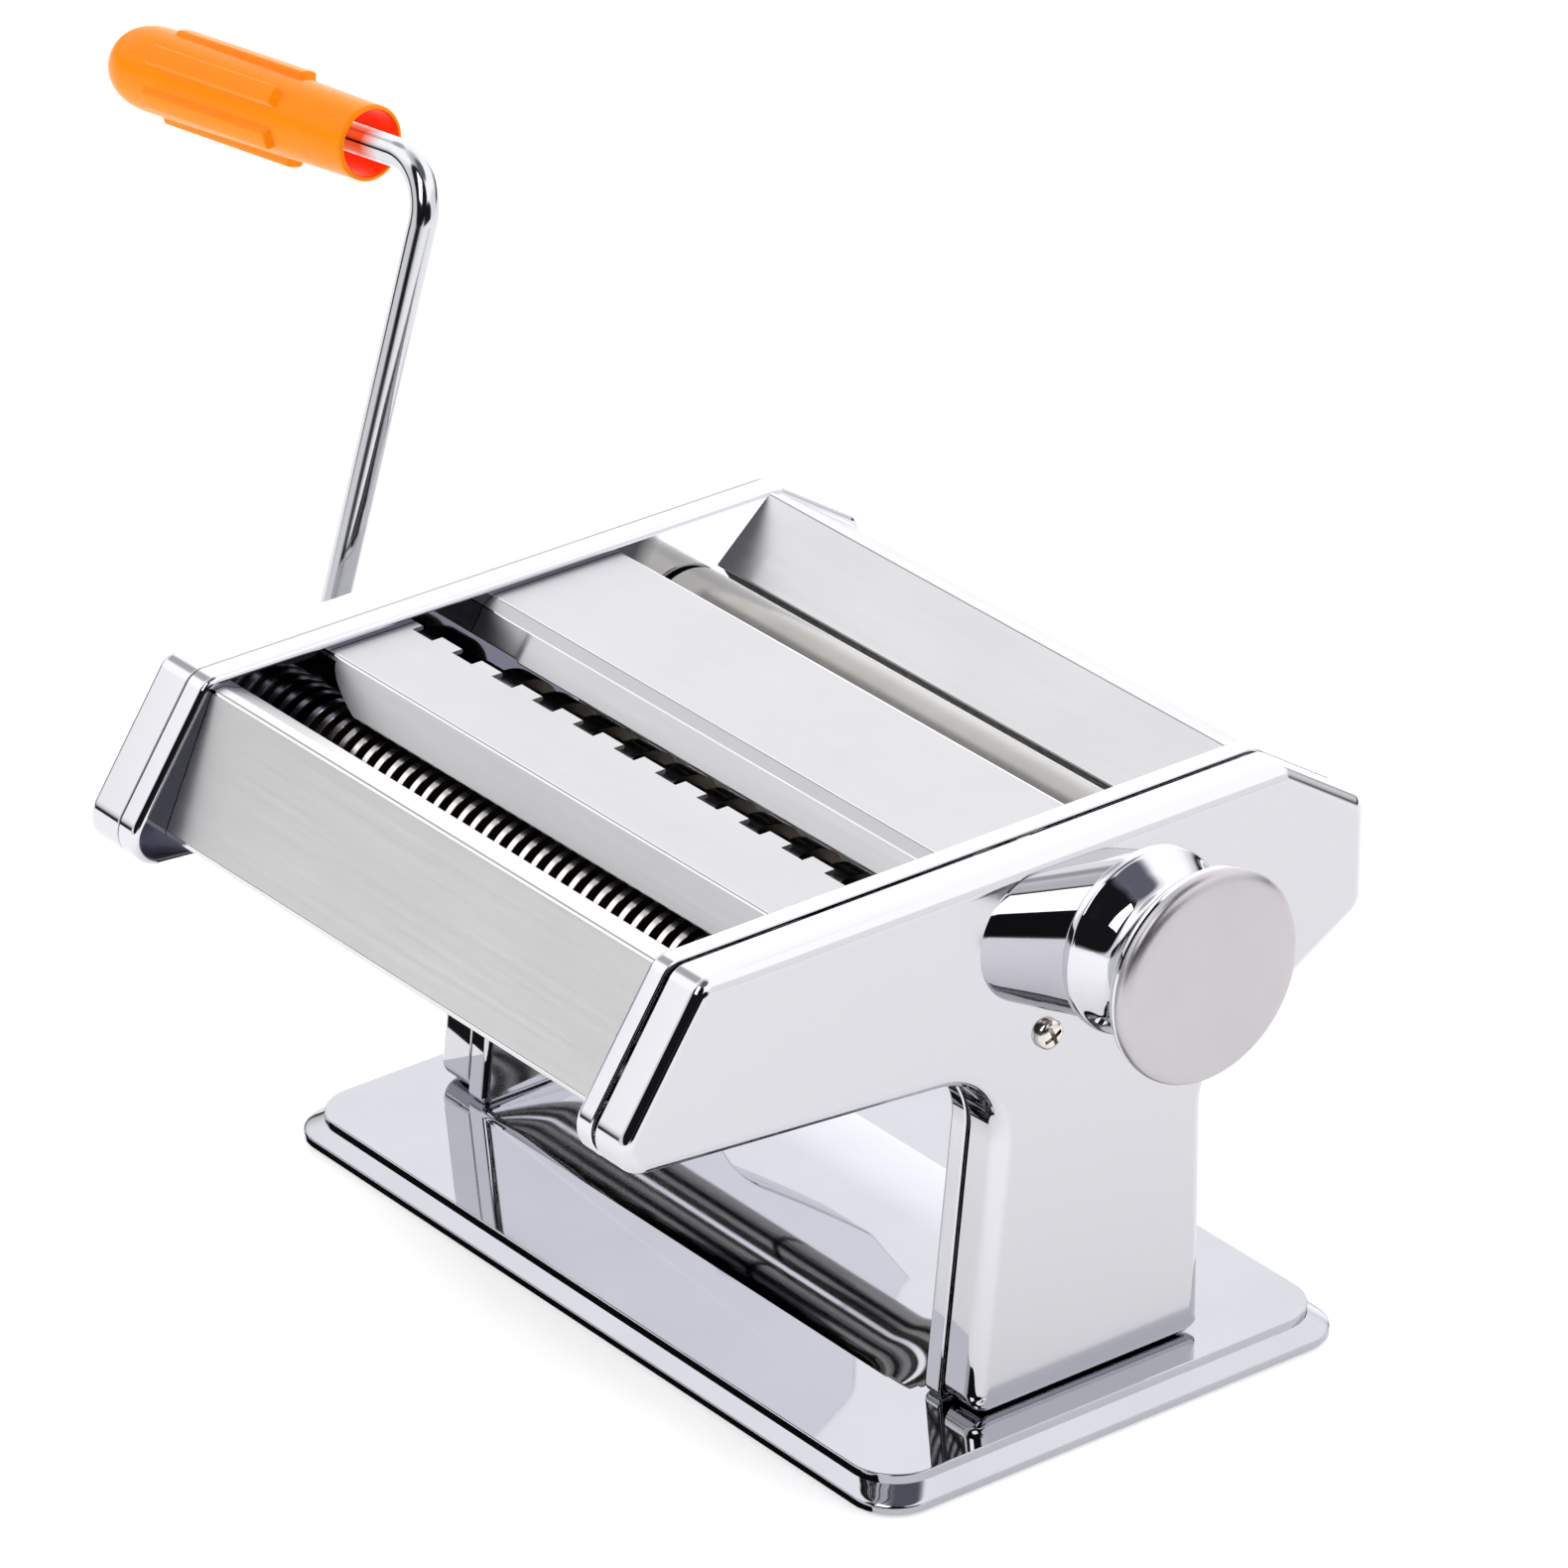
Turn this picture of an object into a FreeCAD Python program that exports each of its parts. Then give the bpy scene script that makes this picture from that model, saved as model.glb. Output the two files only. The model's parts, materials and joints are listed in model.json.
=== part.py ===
import FreeCAD, Part
import math
import os
from FreeCAD import Placement, Rotation, Vector

# Hand-cranked pasta roller machine.  X runs along the rollers (crank side -X,
# knob side +X), Y runs to the back (cutters in front), Z is up and the rubber
# feet stand on Z = 0.  Millimetres throughout.

doc = FreeCAD.newDocument("pasta_machine")
sheet = doc.addObject("Spreadsheet::Sheet", "dims")

VALUES = [
    # cheeks and covers
    ("cheek_half", 75.0), ("web_sheet", 1.2), ("flange_depth", 4.4),
    ("cover_start", 81.4), ("cover_wall", 5.6), ("cover_shoulder", 3.5),
    ("cover_sheet", 1.0), ("cover_round", 4.0),
    ("top_z", 131.5), ("panel_z", 129.0), ("panel_sheet", 1.0),
    # base
    ("plate_z", 7.3), ("plate_sheet", 1.2), ("rim_low", 0.6), ("rim_step", 4.3),
    ("rim_wall", 1.2), ("base_half_x", 103.7), ("base_half_y", 61.8),
    ("deck_half_x", 100.2), ("deck_half_y", 58.9), ("rim_round", 2.2),
    ("foot_rad", 7.0), ("foot_tall", 6.1),
    ("arch_rad", 100.0), ("arch_rise", 5.3), ("arch_half_x", 74.2), ("arch_half_y", 32.0),
    # rolls
    ("roller_rad", 12.0), ("roller_half", 74.0), ("cutter_rad", 10.0),
    ("groove_rad", 7.6), ("journal_rad", 4.0), ("seat_rad", 5.0),
    ("bush_rad", 5.5), ("bush_flange", 7.0), ("run_fit", 0.05),
    ("narrow_pitch", 4.15), ("narrow_disc", 1.775),
    ("wide_pitch", 13.8), ("wide_disc", 6.6),
    ("gear_width", 5.7), ("socket_rad", 3.3), ("socket_deep", 12.0),
    # axes
    ("narrow_front_y", -86.4), ("narrow_rear_y", -68.4), ("narrow_axis_z", 108.4),
    ("wide_front_y", -47.6), ("wide_rear_y", -29.6), ("wide_axis_z", 106.6),
    ("roll_rear_y", 25.6), ("roll_rear_z", 108.2),
    ("knob_axis_y", 0.735), ("knob_axis_z", 114.98),
    # eccentric and knob
    ("ecc_offset", 1.443), ("ecc_rad", 5.5), ("sleeve_rad", 6.5), ("hub_rad", 8.0),
    ("knob_shaft_rad", 5.0), ("end_journal_rad", 3.9),
    ("boss_deep", 13.0), ("boss_rad", 18.6), ("pin_circle", 12.0), ("pin_rad", 1.2),
    ("spring_wire", 0.7), ("spring_rad", 7.0),
    # crank
    ("rod_rad", 3.2), ("crank_throw", 111.7), ("arm_x", 106.5), ("rod_bend", 11.5),
    ("crank_lean", 16.83), ("grip_droop", 6.3), ("grip_start", 22.0),
    ("grip_bore", 7.0), ("grip_length", 88.0),
    # fixings
    ("tie_rad", 3.0), ("tie_spigot", 2.0), ("screw_rad", 1.9), ("screw_head", 3.3),
    ("post_rad", 4.0),
]
D = {}
for i, (alias, value) in enumerate(VALUES):
    row = i + 1
    sheet.set("A%d" % row, alias)
    sheet.set("B%d" % row, repr(value))
    sheet.setAlias("B%d" % row, alias)
    D[alias] = value
doc.recompute()

NODES = []


# ---------------------------------------------------------------- helpers
def bind(obj, prop, value):
    """Set a size: a sheet alias, an expression in aliases, or a number."""
    if isinstance(value, str):
        obj.setExpression(prop, value if "dims." in value else "dims." + value)
    else:
        setattr(obj, prop, value)


def node(obj, label):
    obj.Label = label
    NODES.append((label, obj))
    return obj


def seg(a, b):
    return Part.LineSegment(Vector(a[0], a[1], 0), Vector(b[0], b[1], 0))


def ring(c, r):
    return Part.Circle(Vector(c[0], c[1], 0), Vector(0, 0, 1), r)


def poly(pts):
    return [seg(pts[i], pts[(i + 1) % len(pts)]) for i in range(len(pts))]


def rounded(pts):
    """Closed outline from corners (a, b, radius)."""
    n = len(pts)
    marks = []
    for i in range(n):
        p = Vector(pts[i][0], pts[i][1], 0)
        a = Vector(pts[i - 1][0], pts[i - 1][1], 0)
        b = Vector(pts[(i + 1) % n][0], pts[(i + 1) % n][1], 0)
        r = pts[i][2]
        if r <= 0:
            marks.append((p, None, p))
            continue
        u = (a - p).normalize()
        w = (b - p).normalize()
        half = u.getAngle(w) / 2.0
        t = r / math.tan(half)
        m = (u + w).normalize()
        c = p + m * (r / math.sin(half))
        marks.append((p + u * t, c - m * r, p + w * t))
    geo = []
    for i in range(n):
        s, mid, e = marks[i]
        if mid is not None:
            geo.append(Part.Arc(s, mid, e))
        nxt = marks[(i + 1) % n][0]
        if (nxt - e).Length > 1e-6:
            geo.append(Part.LineSegment(e, nxt))
    return geo


def inset(pts, d):
    """Counter-clockwise corner list moved inwards by d."""
    n = len(pts)
    lines = []
    for i in range(n):
        a, b = pts[i], pts[(i + 1) % n]
        dx, dy = b[0] - a[0], b[1] - a[1]
        ln = math.hypot(dx, dy)
        nx, ny = -dy / ln, dx / ln
        lines.append((a[0] + nx * d, a[1] + ny * d, dx / ln, dy / ln))
    out = []
    for i in range(n):
        x1, y1, ux, uy = lines[i - 1]
        x2, y2, vx, vy = lines[i]
        den = ux * vy - uy * vx
        k = ((x2 - x1) * vy - (y2 - y1) * vx) / den
        r = pts[i][2]
        r = r - d if den > 0 else r + d
        out.append((x1 + ux * k, y1 + uy * k, max(r, 0.3)))
    return out


def strip(pts, t):
    """Closed outline of a folded sheet: pts on one face, t to its left."""
    n = len(pts)
    off = []
    nrm = []
    for i in range(n - 1):
        dx, dy = pts[i + 1][0] - pts[i][0], pts[i + 1][1] - pts[i][1]
        ln = math.hypot(dx, dy)
        nrm.append((-dy / ln, dx / ln))
    for i in range(n):
        if i == 0:
            m, k = nrm[0], 1.0
        elif i == n - 1:
            m, k = nrm[-1], 1.0
        else:
            mx, my = nrm[i - 1][0] + nrm[i][0], nrm[i - 1][1] + nrm[i][1]
            ln = math.hypot(mx, my)
            m = (mx / ln, my / ln)
            k = 1.0 / (m[0] * nrm[i][0] + m[1] * nrm[i][1])
        off.append((pts[i][0] + m[0] * t * k, pts[i][1] + m[1] * t * k))
    return poly(list(pts) + off[::-1])


def body(name):
    b = doc.addObject("PartDesign::Body", name)
    return b


def plane(b, role):
    for f in b.Origin.OriginFeatures:
        if f.Role == role:
            return f
    raise RuntimeError(role)


def sketch(b, role, geo, off=0.0, name="outline"):
    sk = b.newObject("Sketcher::SketchObject", b.Name + "_" + name)
    sk.AttachmentSupport = [(plane(b, role), "")]
    sk.MapMode = "FlatFace"
    sk.AttachmentOffset = Placement(Vector(0, 0, off), Rotation())
    for g in geo:
        sk.addGeometry(g, False)
    return sk


def pad(b, role, geo, off, length, name="pad"):
    sk = sketch(b, role, geo, off, name + "_sketch")
    f = b.newObject("PartDesign::Pad", b.Name + "_" + name)
    f.Profile = sk
    bind(f, "Length", length)
    sk.Visibility = False
    return f


def pocket(b, role, geo, off, length, reverse=False, name="cut"):
    sk = sketch(b, role, geo, off, name + "_sketch")
    doc.recompute()
    before = b.Shape.Volume
    f = b.newObject("PartDesign::Pocket", b.Name + "_" + name)
    f.Profile = sk
    bind(f, "Length", length)
    f.Reversed = reverse
    doc.recompute()
    if not b.Shape.Volume < before - 0.01:
        raise RuntimeError("no cut in " + b.Name + " " + name)
    return f


def fillet(b, feature, radius, pick, name="round"):
    doc.recompute()
    names = ["Edge%d" % (i + 1) for i, e in enumerate(feature.Shape.Edges) if pick(e)]
    f = b.newObject("PartDesign::Fillet", b.Name + "_" + name)
    f.Base = (feature, names)
    bind(f, "Radius", radius)
    return f


def turned(label, pts, y, z):
    """Body of revolution about an axis along X through (y, z)."""
    b = body(label)
    sk = sketch(b, "XY_Plane", poly(pts), 0.0, "profile")
    f = b.newObject("PartDesign::Revolution", b.Name + "_turn")
    f.Profile = sk
    f.ReferenceAxis = (sk, ["H_Axis"])
    f.Angle = 360.0
    b.Placement = Placement(Vector(0, y, z), Rotation())
    return b


ALONG_X = Rotation(Vector(0, 1, 0), 90)


def rod(name, radius, x0, x1, y, z):
    c = doc.addObject("Part::Cylinder", name)
    bind(c, "Radius", radius)
    c.Height = x1 - x0
    c.Placement = Placement(Vector(x0, y, z), ALONG_X)
    return c


def post(name, radius, x, y, z0, z1):
    c = doc.addObject("Part::Cylinder", name)
    bind(c, "Radius", radius)
    c.Height = z1 - z0
    c.Placement = Placement(Vector(x, y, z0), Rotation())
    return c


def block(name, x0, x1, y0, y1, z0, z1):
    c = doc.addObject("Part::Box", name)
    c.Length, c.Width, c.Height = x1 - x0, y1 - y0, z1 - z0
    c.Placement = Placement(Vector(x0, y0, z0), Rotation())
    return c


def cut(name, base, tool):
    c = doc.addObject("Part::Cut", name)
    c.Base, c.Tool = base, tool
    return c


def fuse(name, shapes):
    c = doc.addObject("Part::MultiFuse", name)
    c.Shapes = shapes
    c.Refine = True
    return c


def common(name, a, b):
    c = doc.addObject("Part::Common", name)
    c.Base, c.Tool = a, b
    return c


def group(label, objs):
    c = doc.addObject("Part::Compound", label)
    c.Links = objs
    return node(c, label)


# ---------------------------------------------------------------- layout
HALF = D["cheek_half"]
WEB = D["web_sheet"]
PLATE = D["plate_z"]
TOP = D["top_z"]
PZ = D["panel_z"]
NF = (D["narrow_front_y"], D["narrow_axis_z"])
NR = (D["narrow_rear_y"], D["narrow_axis_z"])
WF = (D["wide_front_y"], D["wide_axis_z"])
WR = (D["wide_rear_y"], D["wide_axis_z"])
RR = (D["roll_rear_y"], D["roll_rear_z"])
KA = (D["knob_axis_y"], D["knob_axis_z"])
ECC = D["ecc_offset"]

# line of centres of the two smooth rollers and the rest position of the
# adjustable one, set 3 mm open
dy, dz = -0.97493, 0.22252
ty, tz = -dz, dy
rest = math.radians(30.0)
FR = (KA[0] + ECC * (math.cos(rest) * dy + math.sin(rest) * ty),
      KA[1] + ECC * (math.cos(rest) * dz + math.sin(rest) * tz))

SCREW = (-11.3, 91.5)
TIES = [(-60.3, 97.5), (-20.5, 91.2), (46.0, 97.0)]


def side_outline(bottom, toe):
    return [(-98.1, TOP, 5.0), (-123.2, 94.0, 7.0), (-21.5, 85.2, 16.0),
            (-29.6, bottom, toe), (31.6, bottom, toe), (31.4, 68.5, 14.0),
            (73.6, 92.5, 6.0), (73.6, 117.0, 5.0), (51.4, TOP, 6.0)]


# ---------------------------------------------------------------- base
def rect(hx, hy, r):
    return rounded([(-hx, -hy, r), (hx, -hy, r), (hx, hy, r), (-hx, hy, r)])


b = body("base_plate")
low = D["rim_low"]
step = low + D["rim_step"]
pad(b, "XY_Plane", rect(D["base_half_x"], D["base_half_y"], 10.4) + rect(98.8, 57.5, 9.8),
    low, "rim_step", "rim")
pad(b, "XY_Plane", rect(D["deck_half_x"], D["deck_half_y"], 11.0) + rect(98.8, 57.5, 9.8),
    step, "rim_wall", "wall")
holes = [ring((sx * 78.8, sy * 12.0), 1.3) for sx in (-1, 1) for sy in (-1, 1)]
deck = pad(b, "XY_Plane", rect(D["deck_half_x"], D["deck_half_y"], 11.0) + holes,
           PLATE - D["plate_sheet"], "plate_sheet", "deck")


def outer_at(level):
    def pick(e):
        vs = [v.Point for v in e.Vertexes]
        return (all(abs(p.z - level) < 1e-4 for p in vs)
                and max(abs(p.x) for p in vs) > 85.0
                and not any(abs(abs(p.x) - 98.8) < 0.01 or abs(abs(p.y) - 57.5) < 0.01 for p in vs)
                and len(vs) > 1)
    return pick


def rim_edges(e):
    vs = [v.Point for v in e.Vertexes]
    return (len(vs) > 1 and all(abs(p.z - step) < 1e-4 for p in vs)
            and all(abs(p.x) > D["base_half_x"] - 14.5 and
                    (abs(abs(p.x) - D["base_half_x"]) < 0.01 or abs(abs(p.y) - D["base_half_y"]) < 0.01)
                    for p in vs))


def deck_edges(e):
    vs = [v.Point for v in e.Vertexes]
    return (len(vs) > 1 and all(abs(p.z - PLATE) < 1e-4 for p in vs)
            and all(abs(abs(p.x) - D["deck_half_x"]) < 0.01 or abs(abs(p.y) - D["deck_half_y"]) < 0.01
                    for p in vs))


f = fillet(b, deck, "rim_round", rim_edges, "rim_roll")
f = fillet(b, f, 1.0, deck_edges, "deck_roll")


# low arched pressing in the deck between the legs
def arch(label, rad, gap):
    pl = body(label + "_plan")
    pad(pl, "XY_Plane", rect(D["arch_half_x"] - gap, D["arch_half_y"] - gap, 13.0 - gap),
        PLATE - D["plate_sheet"] - (2.0 if gap else 0.0), 12.0, "plan")
    drum = rod(label + "_drum", rad, -90.0, 90.0, 0.0, PLATE + D["arch_rise"] - D["arch_rad"])
    return common(label, pl, drum)


raised = fuse("base_raised", [b, arch("arch_outside", "arch_rad", 0.0)])
node(cut("base_pressed", raised, arch("arch_inside", "dims.arch_rad - dims.plate_sheet", D["plate_sheet"])), "base_plate")

group("rubber_feet", [post("foot_%d" % i, "foot_rad", sx * 86.0, sy * 45.0, 0.0, D["foot_tall"])
                      for i, (sx, sy) in enumerate([(-1, -1), (1, -1), (1, 1), (-1, 1)])])

screws, nuts = [], []
for i, (sx, sy) in enumerate([(-1, -1), (1, -1), (1, 1), (-1, 1)]):
    x, y = sx * 78.8, sy * 12.0
    head = post("base_screw_head_%d" % i, 2.6, x, y, 4.2, 6.1)
    shank = post("base_screw_shank_%d" % i, 1.25, x, y, 6.1, 10.8)
    screws.append(fuse("base_screw_%d" % i, [head, shank]))
    hexa = doc.addObject("Part::Prism", "base_nut_hex_%d" % i)
    hexa.Polygon = 6
    hexa.Circumradius = 2.4
    hexa.Height = 2.2
    hexa.Placement = Placement(Vector(x, y, PLATE + WEB), Rotation())
    nuts.append(cut("base_nut_%d" % i, hexa, post("base_nut_hole_%d" % i, 1.25, x, y, 0.0, 20.0)))
group("base_screws", screws)
group("base_nuts", nuts)


# ---------------------------------------------------------------- cheeks
def cheek(label, s):
    out = side_outline(PLATE, 2.0)
    inn = inset(out, WEB)
    big = D["bush_rad"]
    k_hole = 7.0 if s > 0 else 10.0
    hl = [ring(p, big) for p in (NF, NR, WF, WR, RR)] + [ring(KA, k_hole)]
    hl += [ring(p, D["tie_spigot"]) for p in TIES]
    b = body(label)
    x_web = HALF if s > 0 else -HALF - WEB
    x_fl = HALF + WEB if s > 0 else -HALF - WEB - D["flange_depth"]
    pad(b, "YZ_Plane", rounded(out) + hl, x_web, "web_sheet", "web")
    pad(b, "YZ_Plane", rounded(out) + rounded(inn), x_fl, "flange_depth", "flange")
    feet = [ring((s * 78.8, 12.0), 1.3), ring((s * 78.8, -12.0), 1.3)]
    pocket(b, "XY_Plane", feet, PLATE + 1.6, 3.0, False, "foot_holes")
    return node(b, label)


cheek("left_inner_cheek", -1)
cheek("right_inner_cheek", 1)


def cover(label, s, hl):
    out = side_outline(PLATE + 0.5, D["cover_round"] + 0.4)
    b = body(label)
    a0 = D["cover_start"]
    a1 = a0 + D["cover_wall"]
    a2 = a1 + D["cover_shoulder"]
    a3 = a2 + D["cover_sheet"]
    pos = (lambda lo, hi: lo) if s > 0 else (lambda lo, hi: -hi)
    pad(b, "YZ_Plane", rounded(out) + rounded(inset(out, D["cover_sheet"])), pos(a0, a1), "cover_wall", "wall")
    pad(b, "YZ_Plane", rounded(out) + rounded(inset(out, 3.0)), pos(a1, a2), "cover_shoulder", "shoulder")
    web = pad(b, "YZ_Plane", rounded(out) + hl, pos(a2, a3), "cover_sheet", "web")
    face = s * a3

    def rim(e):
        vs = [v.Point for v in e.Vertexes]
        return len(vs) > 1 and all(abs(p.x - face) < 1e-4 for p in vs)
    fillet(b, web, "cover_round", rim, "edge_roll")
    return node(b, label)


hub_hole = D["seat_rad"] + 0.6
cover("left_cover", -1, [ring(NF, hub_hole), ring(WF, hub_hole), ring(RR, hub_hole),
                         ring(SCREW, D["screw_rad"])])
cover("right_cover", 1, [ring(KA, 8.0), ring(SCREW, D["screw_rad"])])

FACE = D["cover_start"] + D["cover_wall"] + D["cover_shoulder"] + D["cover_sheet"]


# ---------------------------------------------------------------- panels
def panel(label, pts):
    b = body(label)
    pad(b, "YZ_Plane", strip(pts, D["panel_sheet"]), -HALF, "2 * dims.cheek_half", "sheet")
    return b


# front panel: lip, sloping face, bottom return
b = panel("front_panel", [(-89.7, 127.4), (-94.3, 129.05), (-96.9, 129.1), (-110.2, 99.4), (-106.6, 97.6)])
node(b, "front_panel")

# cutter guard: sloping front face, flat top, notched rear edge
b = panel("cutter_guard", [(-45.4, PZ), (-67.4, PZ), (-72.5, 121.3)])
notch = []
for i in range(11):
    xc = (i - 5) * D["wide_pitch"]
    w = D["wide_pitch"] / 4.0
    notch += poly([(xc - w, -48.0), (xc + w, -48.0), (xc + w, -44.0), (xc - w, -44.0)])
pocket(b, "XY_Plane", notch, PZ + 2.0, 6.0, False, "notches")
node(b, "cutter_guard")

# top panel: stepped front edge, flat top, short fold at the rear edge
b = panel("top_panel", [(9.6, 126.4), (9.0, PZ), (-25.2, PZ), (-27.8, 127.3), (-31.8, 122.2)])
node(b, "top_panel")

# hopper panel: sloping feed face, crest, back skirt
b = panel("hopper_panel", [(69.9, 112.0), (69.9, 117.2), (51.0, 130.3), (48.6, 130.9), (33.9, 119.0)])
node(b, "hopper_panel")


# ---------------------------------------------------------------- ties, bushes
rods, nuts = [], []
for i, (y, z) in enumerate(TIES):
    mid = rod("tie_bar_%d" % i, "tie_rad", -HALF, HALF, y, z)
    thin = rod("tie_end_%d" % i, "tie_spigot", -HALF - WEB - 2.4, HALF + WEB + 2.4, y, z)
    rods.append(fuse("tie_rod_%d" % i, [mid, thin]))
    for s in (-1, 1):
        hexa = doc.addObject("Part::Prism", "tie_nut_hex_%d_%d" % (i, s + 1))
        hexa.Polygon = 6
        hexa.Circumradius = 3.6
        hexa.Height = 2.4
        x0 = HALF + WEB if s > 0 else -HALF - WEB - 2.4
        hexa.Placement = Placement(Vector(x0, y, z), ALONG_X)
        hole = rod("tie_nut_hole_%d_%d" % (i, s + 1), "tie_spigot", x0 - 1, x0 + 4, y, z)
        nuts.append(cut("tie_nut_%d_%d" % (i, s + 1), hexa, hole))
group("tie_rods", rods)
group("tie_nuts", nuts)


def bush(label, s, y, z, outer, flange, bore):
    x = [HALF - 0.4, HALF + WEB, HALF + WEB + 1.4]
    pts = [(x[0], bore), (x[2], bore), (x[2], flange), (x[1], flange), (x[1], outer), (x[0], outer)]
    pts = [(s * a, r) for a, r in pts]
    return turned(label, pts, y, z)


fit = D["run_fit"]
bs = []
for i, p in enumerate((NF, NR, WF, WR, RR)):
    for s in (-1, 1):
        bs.append(bush("bush_%d_%d" % (i, s + 1), s, p[0], p[1], D["bush_rad"], D["bush_flange"],
                       D["journal_rad"] + fit))
bs.append(bush("bush_knob", 1, KA[0], KA[1], 7.0, 8.6, D["knob_shaft_rad"] + fit))
group("bushes", bs)


# ---------------------------------------------------------------- rolls
GX0 = -83.9
GX1 = GX0 + D["gear_width"]
OPEN = -91.0
JR, SR = D["journal_rad"], D["seat_rad"]


def comb_profile(pitch, disc, count, shift):
    """Outline of a grooved roll, radius over x, left to right."""
    half = D["roller_half"] - 0.4
    ro, ri = D["cutter_rad"], D["groove_rad"]
    pts = [(-half, ri)]
    for i in range(count):
        xc = (i - (count - 1) / 2.0) * pitch + shift
        a, c = max(xc - disc / 2.0, -half), min(xc + disc / 2.0, half)
        if c - a < 0.6:
            continue
        pts += [(a, ri), (a, ro), (c, ro), (c, ri)]
    pts.append((half, ri))
    clean = []
    for p in pts:
        if not clean or abs(p[0] - clean[-1][0]) > 1e-6 or abs(p[1] - clean[-1][1]) > 1e-6:
            clean.append(p)
    return clean


def shaft_ends(driven):
    """Left end (gear seat, crank socket or plain) and right journal."""
    if driven:
        left = [(OPEN + D["socket_deep"], 0.0), (OPEN + D["socket_deep"], D["socket_rad"]),
                (OPEN, D["socket_rad"]), (OPEN, SR), (GX1, SR), (GX1, JR)]
    else:
        left = [(-86.0, 0.0), (-86.0, SR), (GX1, SR), (GX1, JR)]
    return left, [(78.8, JR), (78.8, 0.0)]


def slot_cut(b):
    pocket(b, "YZ_Plane", poly([(-1.1, -6.0), (1.1, -6.0), (1.1, 6.0), (-1.1, 6.0)]), OPEN, 3.0, True, "slot")


def cutter(label, p, pitch, disc, count, shift, driven):
    left, right = shaft_ends(driven)
    mid = comb_profile(pitch, disc, count, shift)
    rl = D["roller_half"]
    pts = left + [(-rl, JR), (-rl, D["groove_rad"])] + mid + \
        [(rl, D["groove_rad"]), (rl, JR)] + right
    b = turned(label, pts, p[0], p[1])
    if driven:
        slot_cut(b)
    return node(b, label)


np_, nd = D["narrow_pitch"], D["narrow_disc"]
wp, wd = D["wide_pitch"], D["wide_disc"]
cutter("narrow_front_cutter", NF, np_, nd, 35, 0.0, True)
cutter("narrow_rear_cutter", NR, np_, nd, 36, 0.0, False)
cutter("wide_front_cutter", WF, wp, wd, 11, 0.0, True)
cutter("wide_rear_cutter", WR, wp, wd, 10, 0.0, False)

left, right = shaft_ends(True)
R = D["roller_rad"]
rh = D["roller_half"]
b = turned("rear_roller", left + [(-rh, JR), (-rh, R - 0.6), (-rh + 0.6, R), (rh - 0.6, R), (rh, R - 0.6), (rh, JR)]
           + right, RR[0], RR[1])
slot_cut(b)
node(b, "rear_roller")

sl = D["sleeve_rad"] + fit
hub = D["hub_rad"]
pts = [(GX0, sl), (GX0, hub), (-rh, hub), (-rh, R - 0.6), (-rh + 0.6, R), (rh - 0.6, R), (rh, R - 0.6), (rh, sl),
       (54.0, sl), (54.0, sl + 0.8), (-58.0, sl + 0.8), (-58.0, sl)]
node(turned("front_roller", pts, FR[0], FR[1]), "front_roller")

s_in = D["ecc_rad"] + fit
s_out = D["sleeve_rad"]
# one long bearing sleeve between the eccentric and the roller
node(turned("roller_sleeve", [(GX0, s_in), (GX0, s_out), (rh, s_out), (rh, s_in)], FR[0], FR[1]), "roller_sleeve")


def gear_outline(n, rp, add, ded, thick, flank, phase):
    tan = math.tan(math.radians(flank))
    ra, rr = rp + add, rp - ded
    hr, ha = thick / 2.0 + ded * tan, thick / 2.0 - add * tan
    pts = []
    for k in range(n):
        c = phase + 2.0 * math.pi * k / n
        for r, h, sg in ((rr, hr, -1), (ra, ha, -1), (ra, ha, 1), (rr, hr, 1)):
            a = c + sg * math.asin(h / r)
            pts.append((r * math.cos(a), r * math.sin(a)))
    return pts


def gear(label, p, n, rp, add, ded, thick, flank, phase, bore):
    b = body(label)
    pad(b, "YZ_Plane", poly(gear_outline(n, rp, add, ded, thick, flank, phase)) + [ring((0, 0), bore)],
        GX0, "gear_width", "teeth")
    b.Placement = Placement(Vector(0, p[0], p[1]), Rotation())
    return node(b, label)


def pair(front, rear, pf, pr, n, rp, add, ded, thick, flank, bf, br, toward=None):
    phi = math.atan2(pr[1] - pf[1], pr[0] - pf[0]) if toward is None else toward
    gear(front, pf, n, rp, add, ded, thick, flank, phi, bf)
    gear(rear, pr, n, rp, add, ded, thick, flank, phi + math.pi + math.pi / n, br)


pair("narrow_front_gear", "narrow_rear_gear", NF, NR, 12, 9.0, 1.3, 1.8, 1.85, 16.0, SR, SR)
pair("wide_front_gear", "wide_rear_gear", WF, WR, 12, 9.0, 1.3, 1.8, 1.85, 16.0, SR, SR)
pair("rear_roller_gear", "front_roller_gear", RR, FR, 12, 12.875, 1.5, 3.0, 1.80, 12.0, SR, hub,
     math.atan2(dz, dy))


# ---------------------------------------------------------------- scrapers
def comb(label, p, pitch, count, shift, finger, z0, z1, z2):
    """Upright comb under a grooved roll; fingers stand in the grooves."""
    y = p[0]
    pts = [(-HALF, z0), (HALF, z0), (HALF, z1)]
    for i in reversed(range(count)):
        xc = (i - (count - 1) / 2.0) * pitch + shift
        if abs(xc) + finger > D["roller_half"] - 1.0:
            continue
        pts += [(xc + finger / 2.0, z1), (xc + finger / 2.0, z2), (xc - finger / 2.0, z2), (xc - finger / 2.0, z1)]
    pts.append((-HALF, z1))
    b = body(label)
    pad(b, "XZ_Plane", poly(pts), -y - 0.5, "panel_sheet", "comb")
    return b


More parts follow.
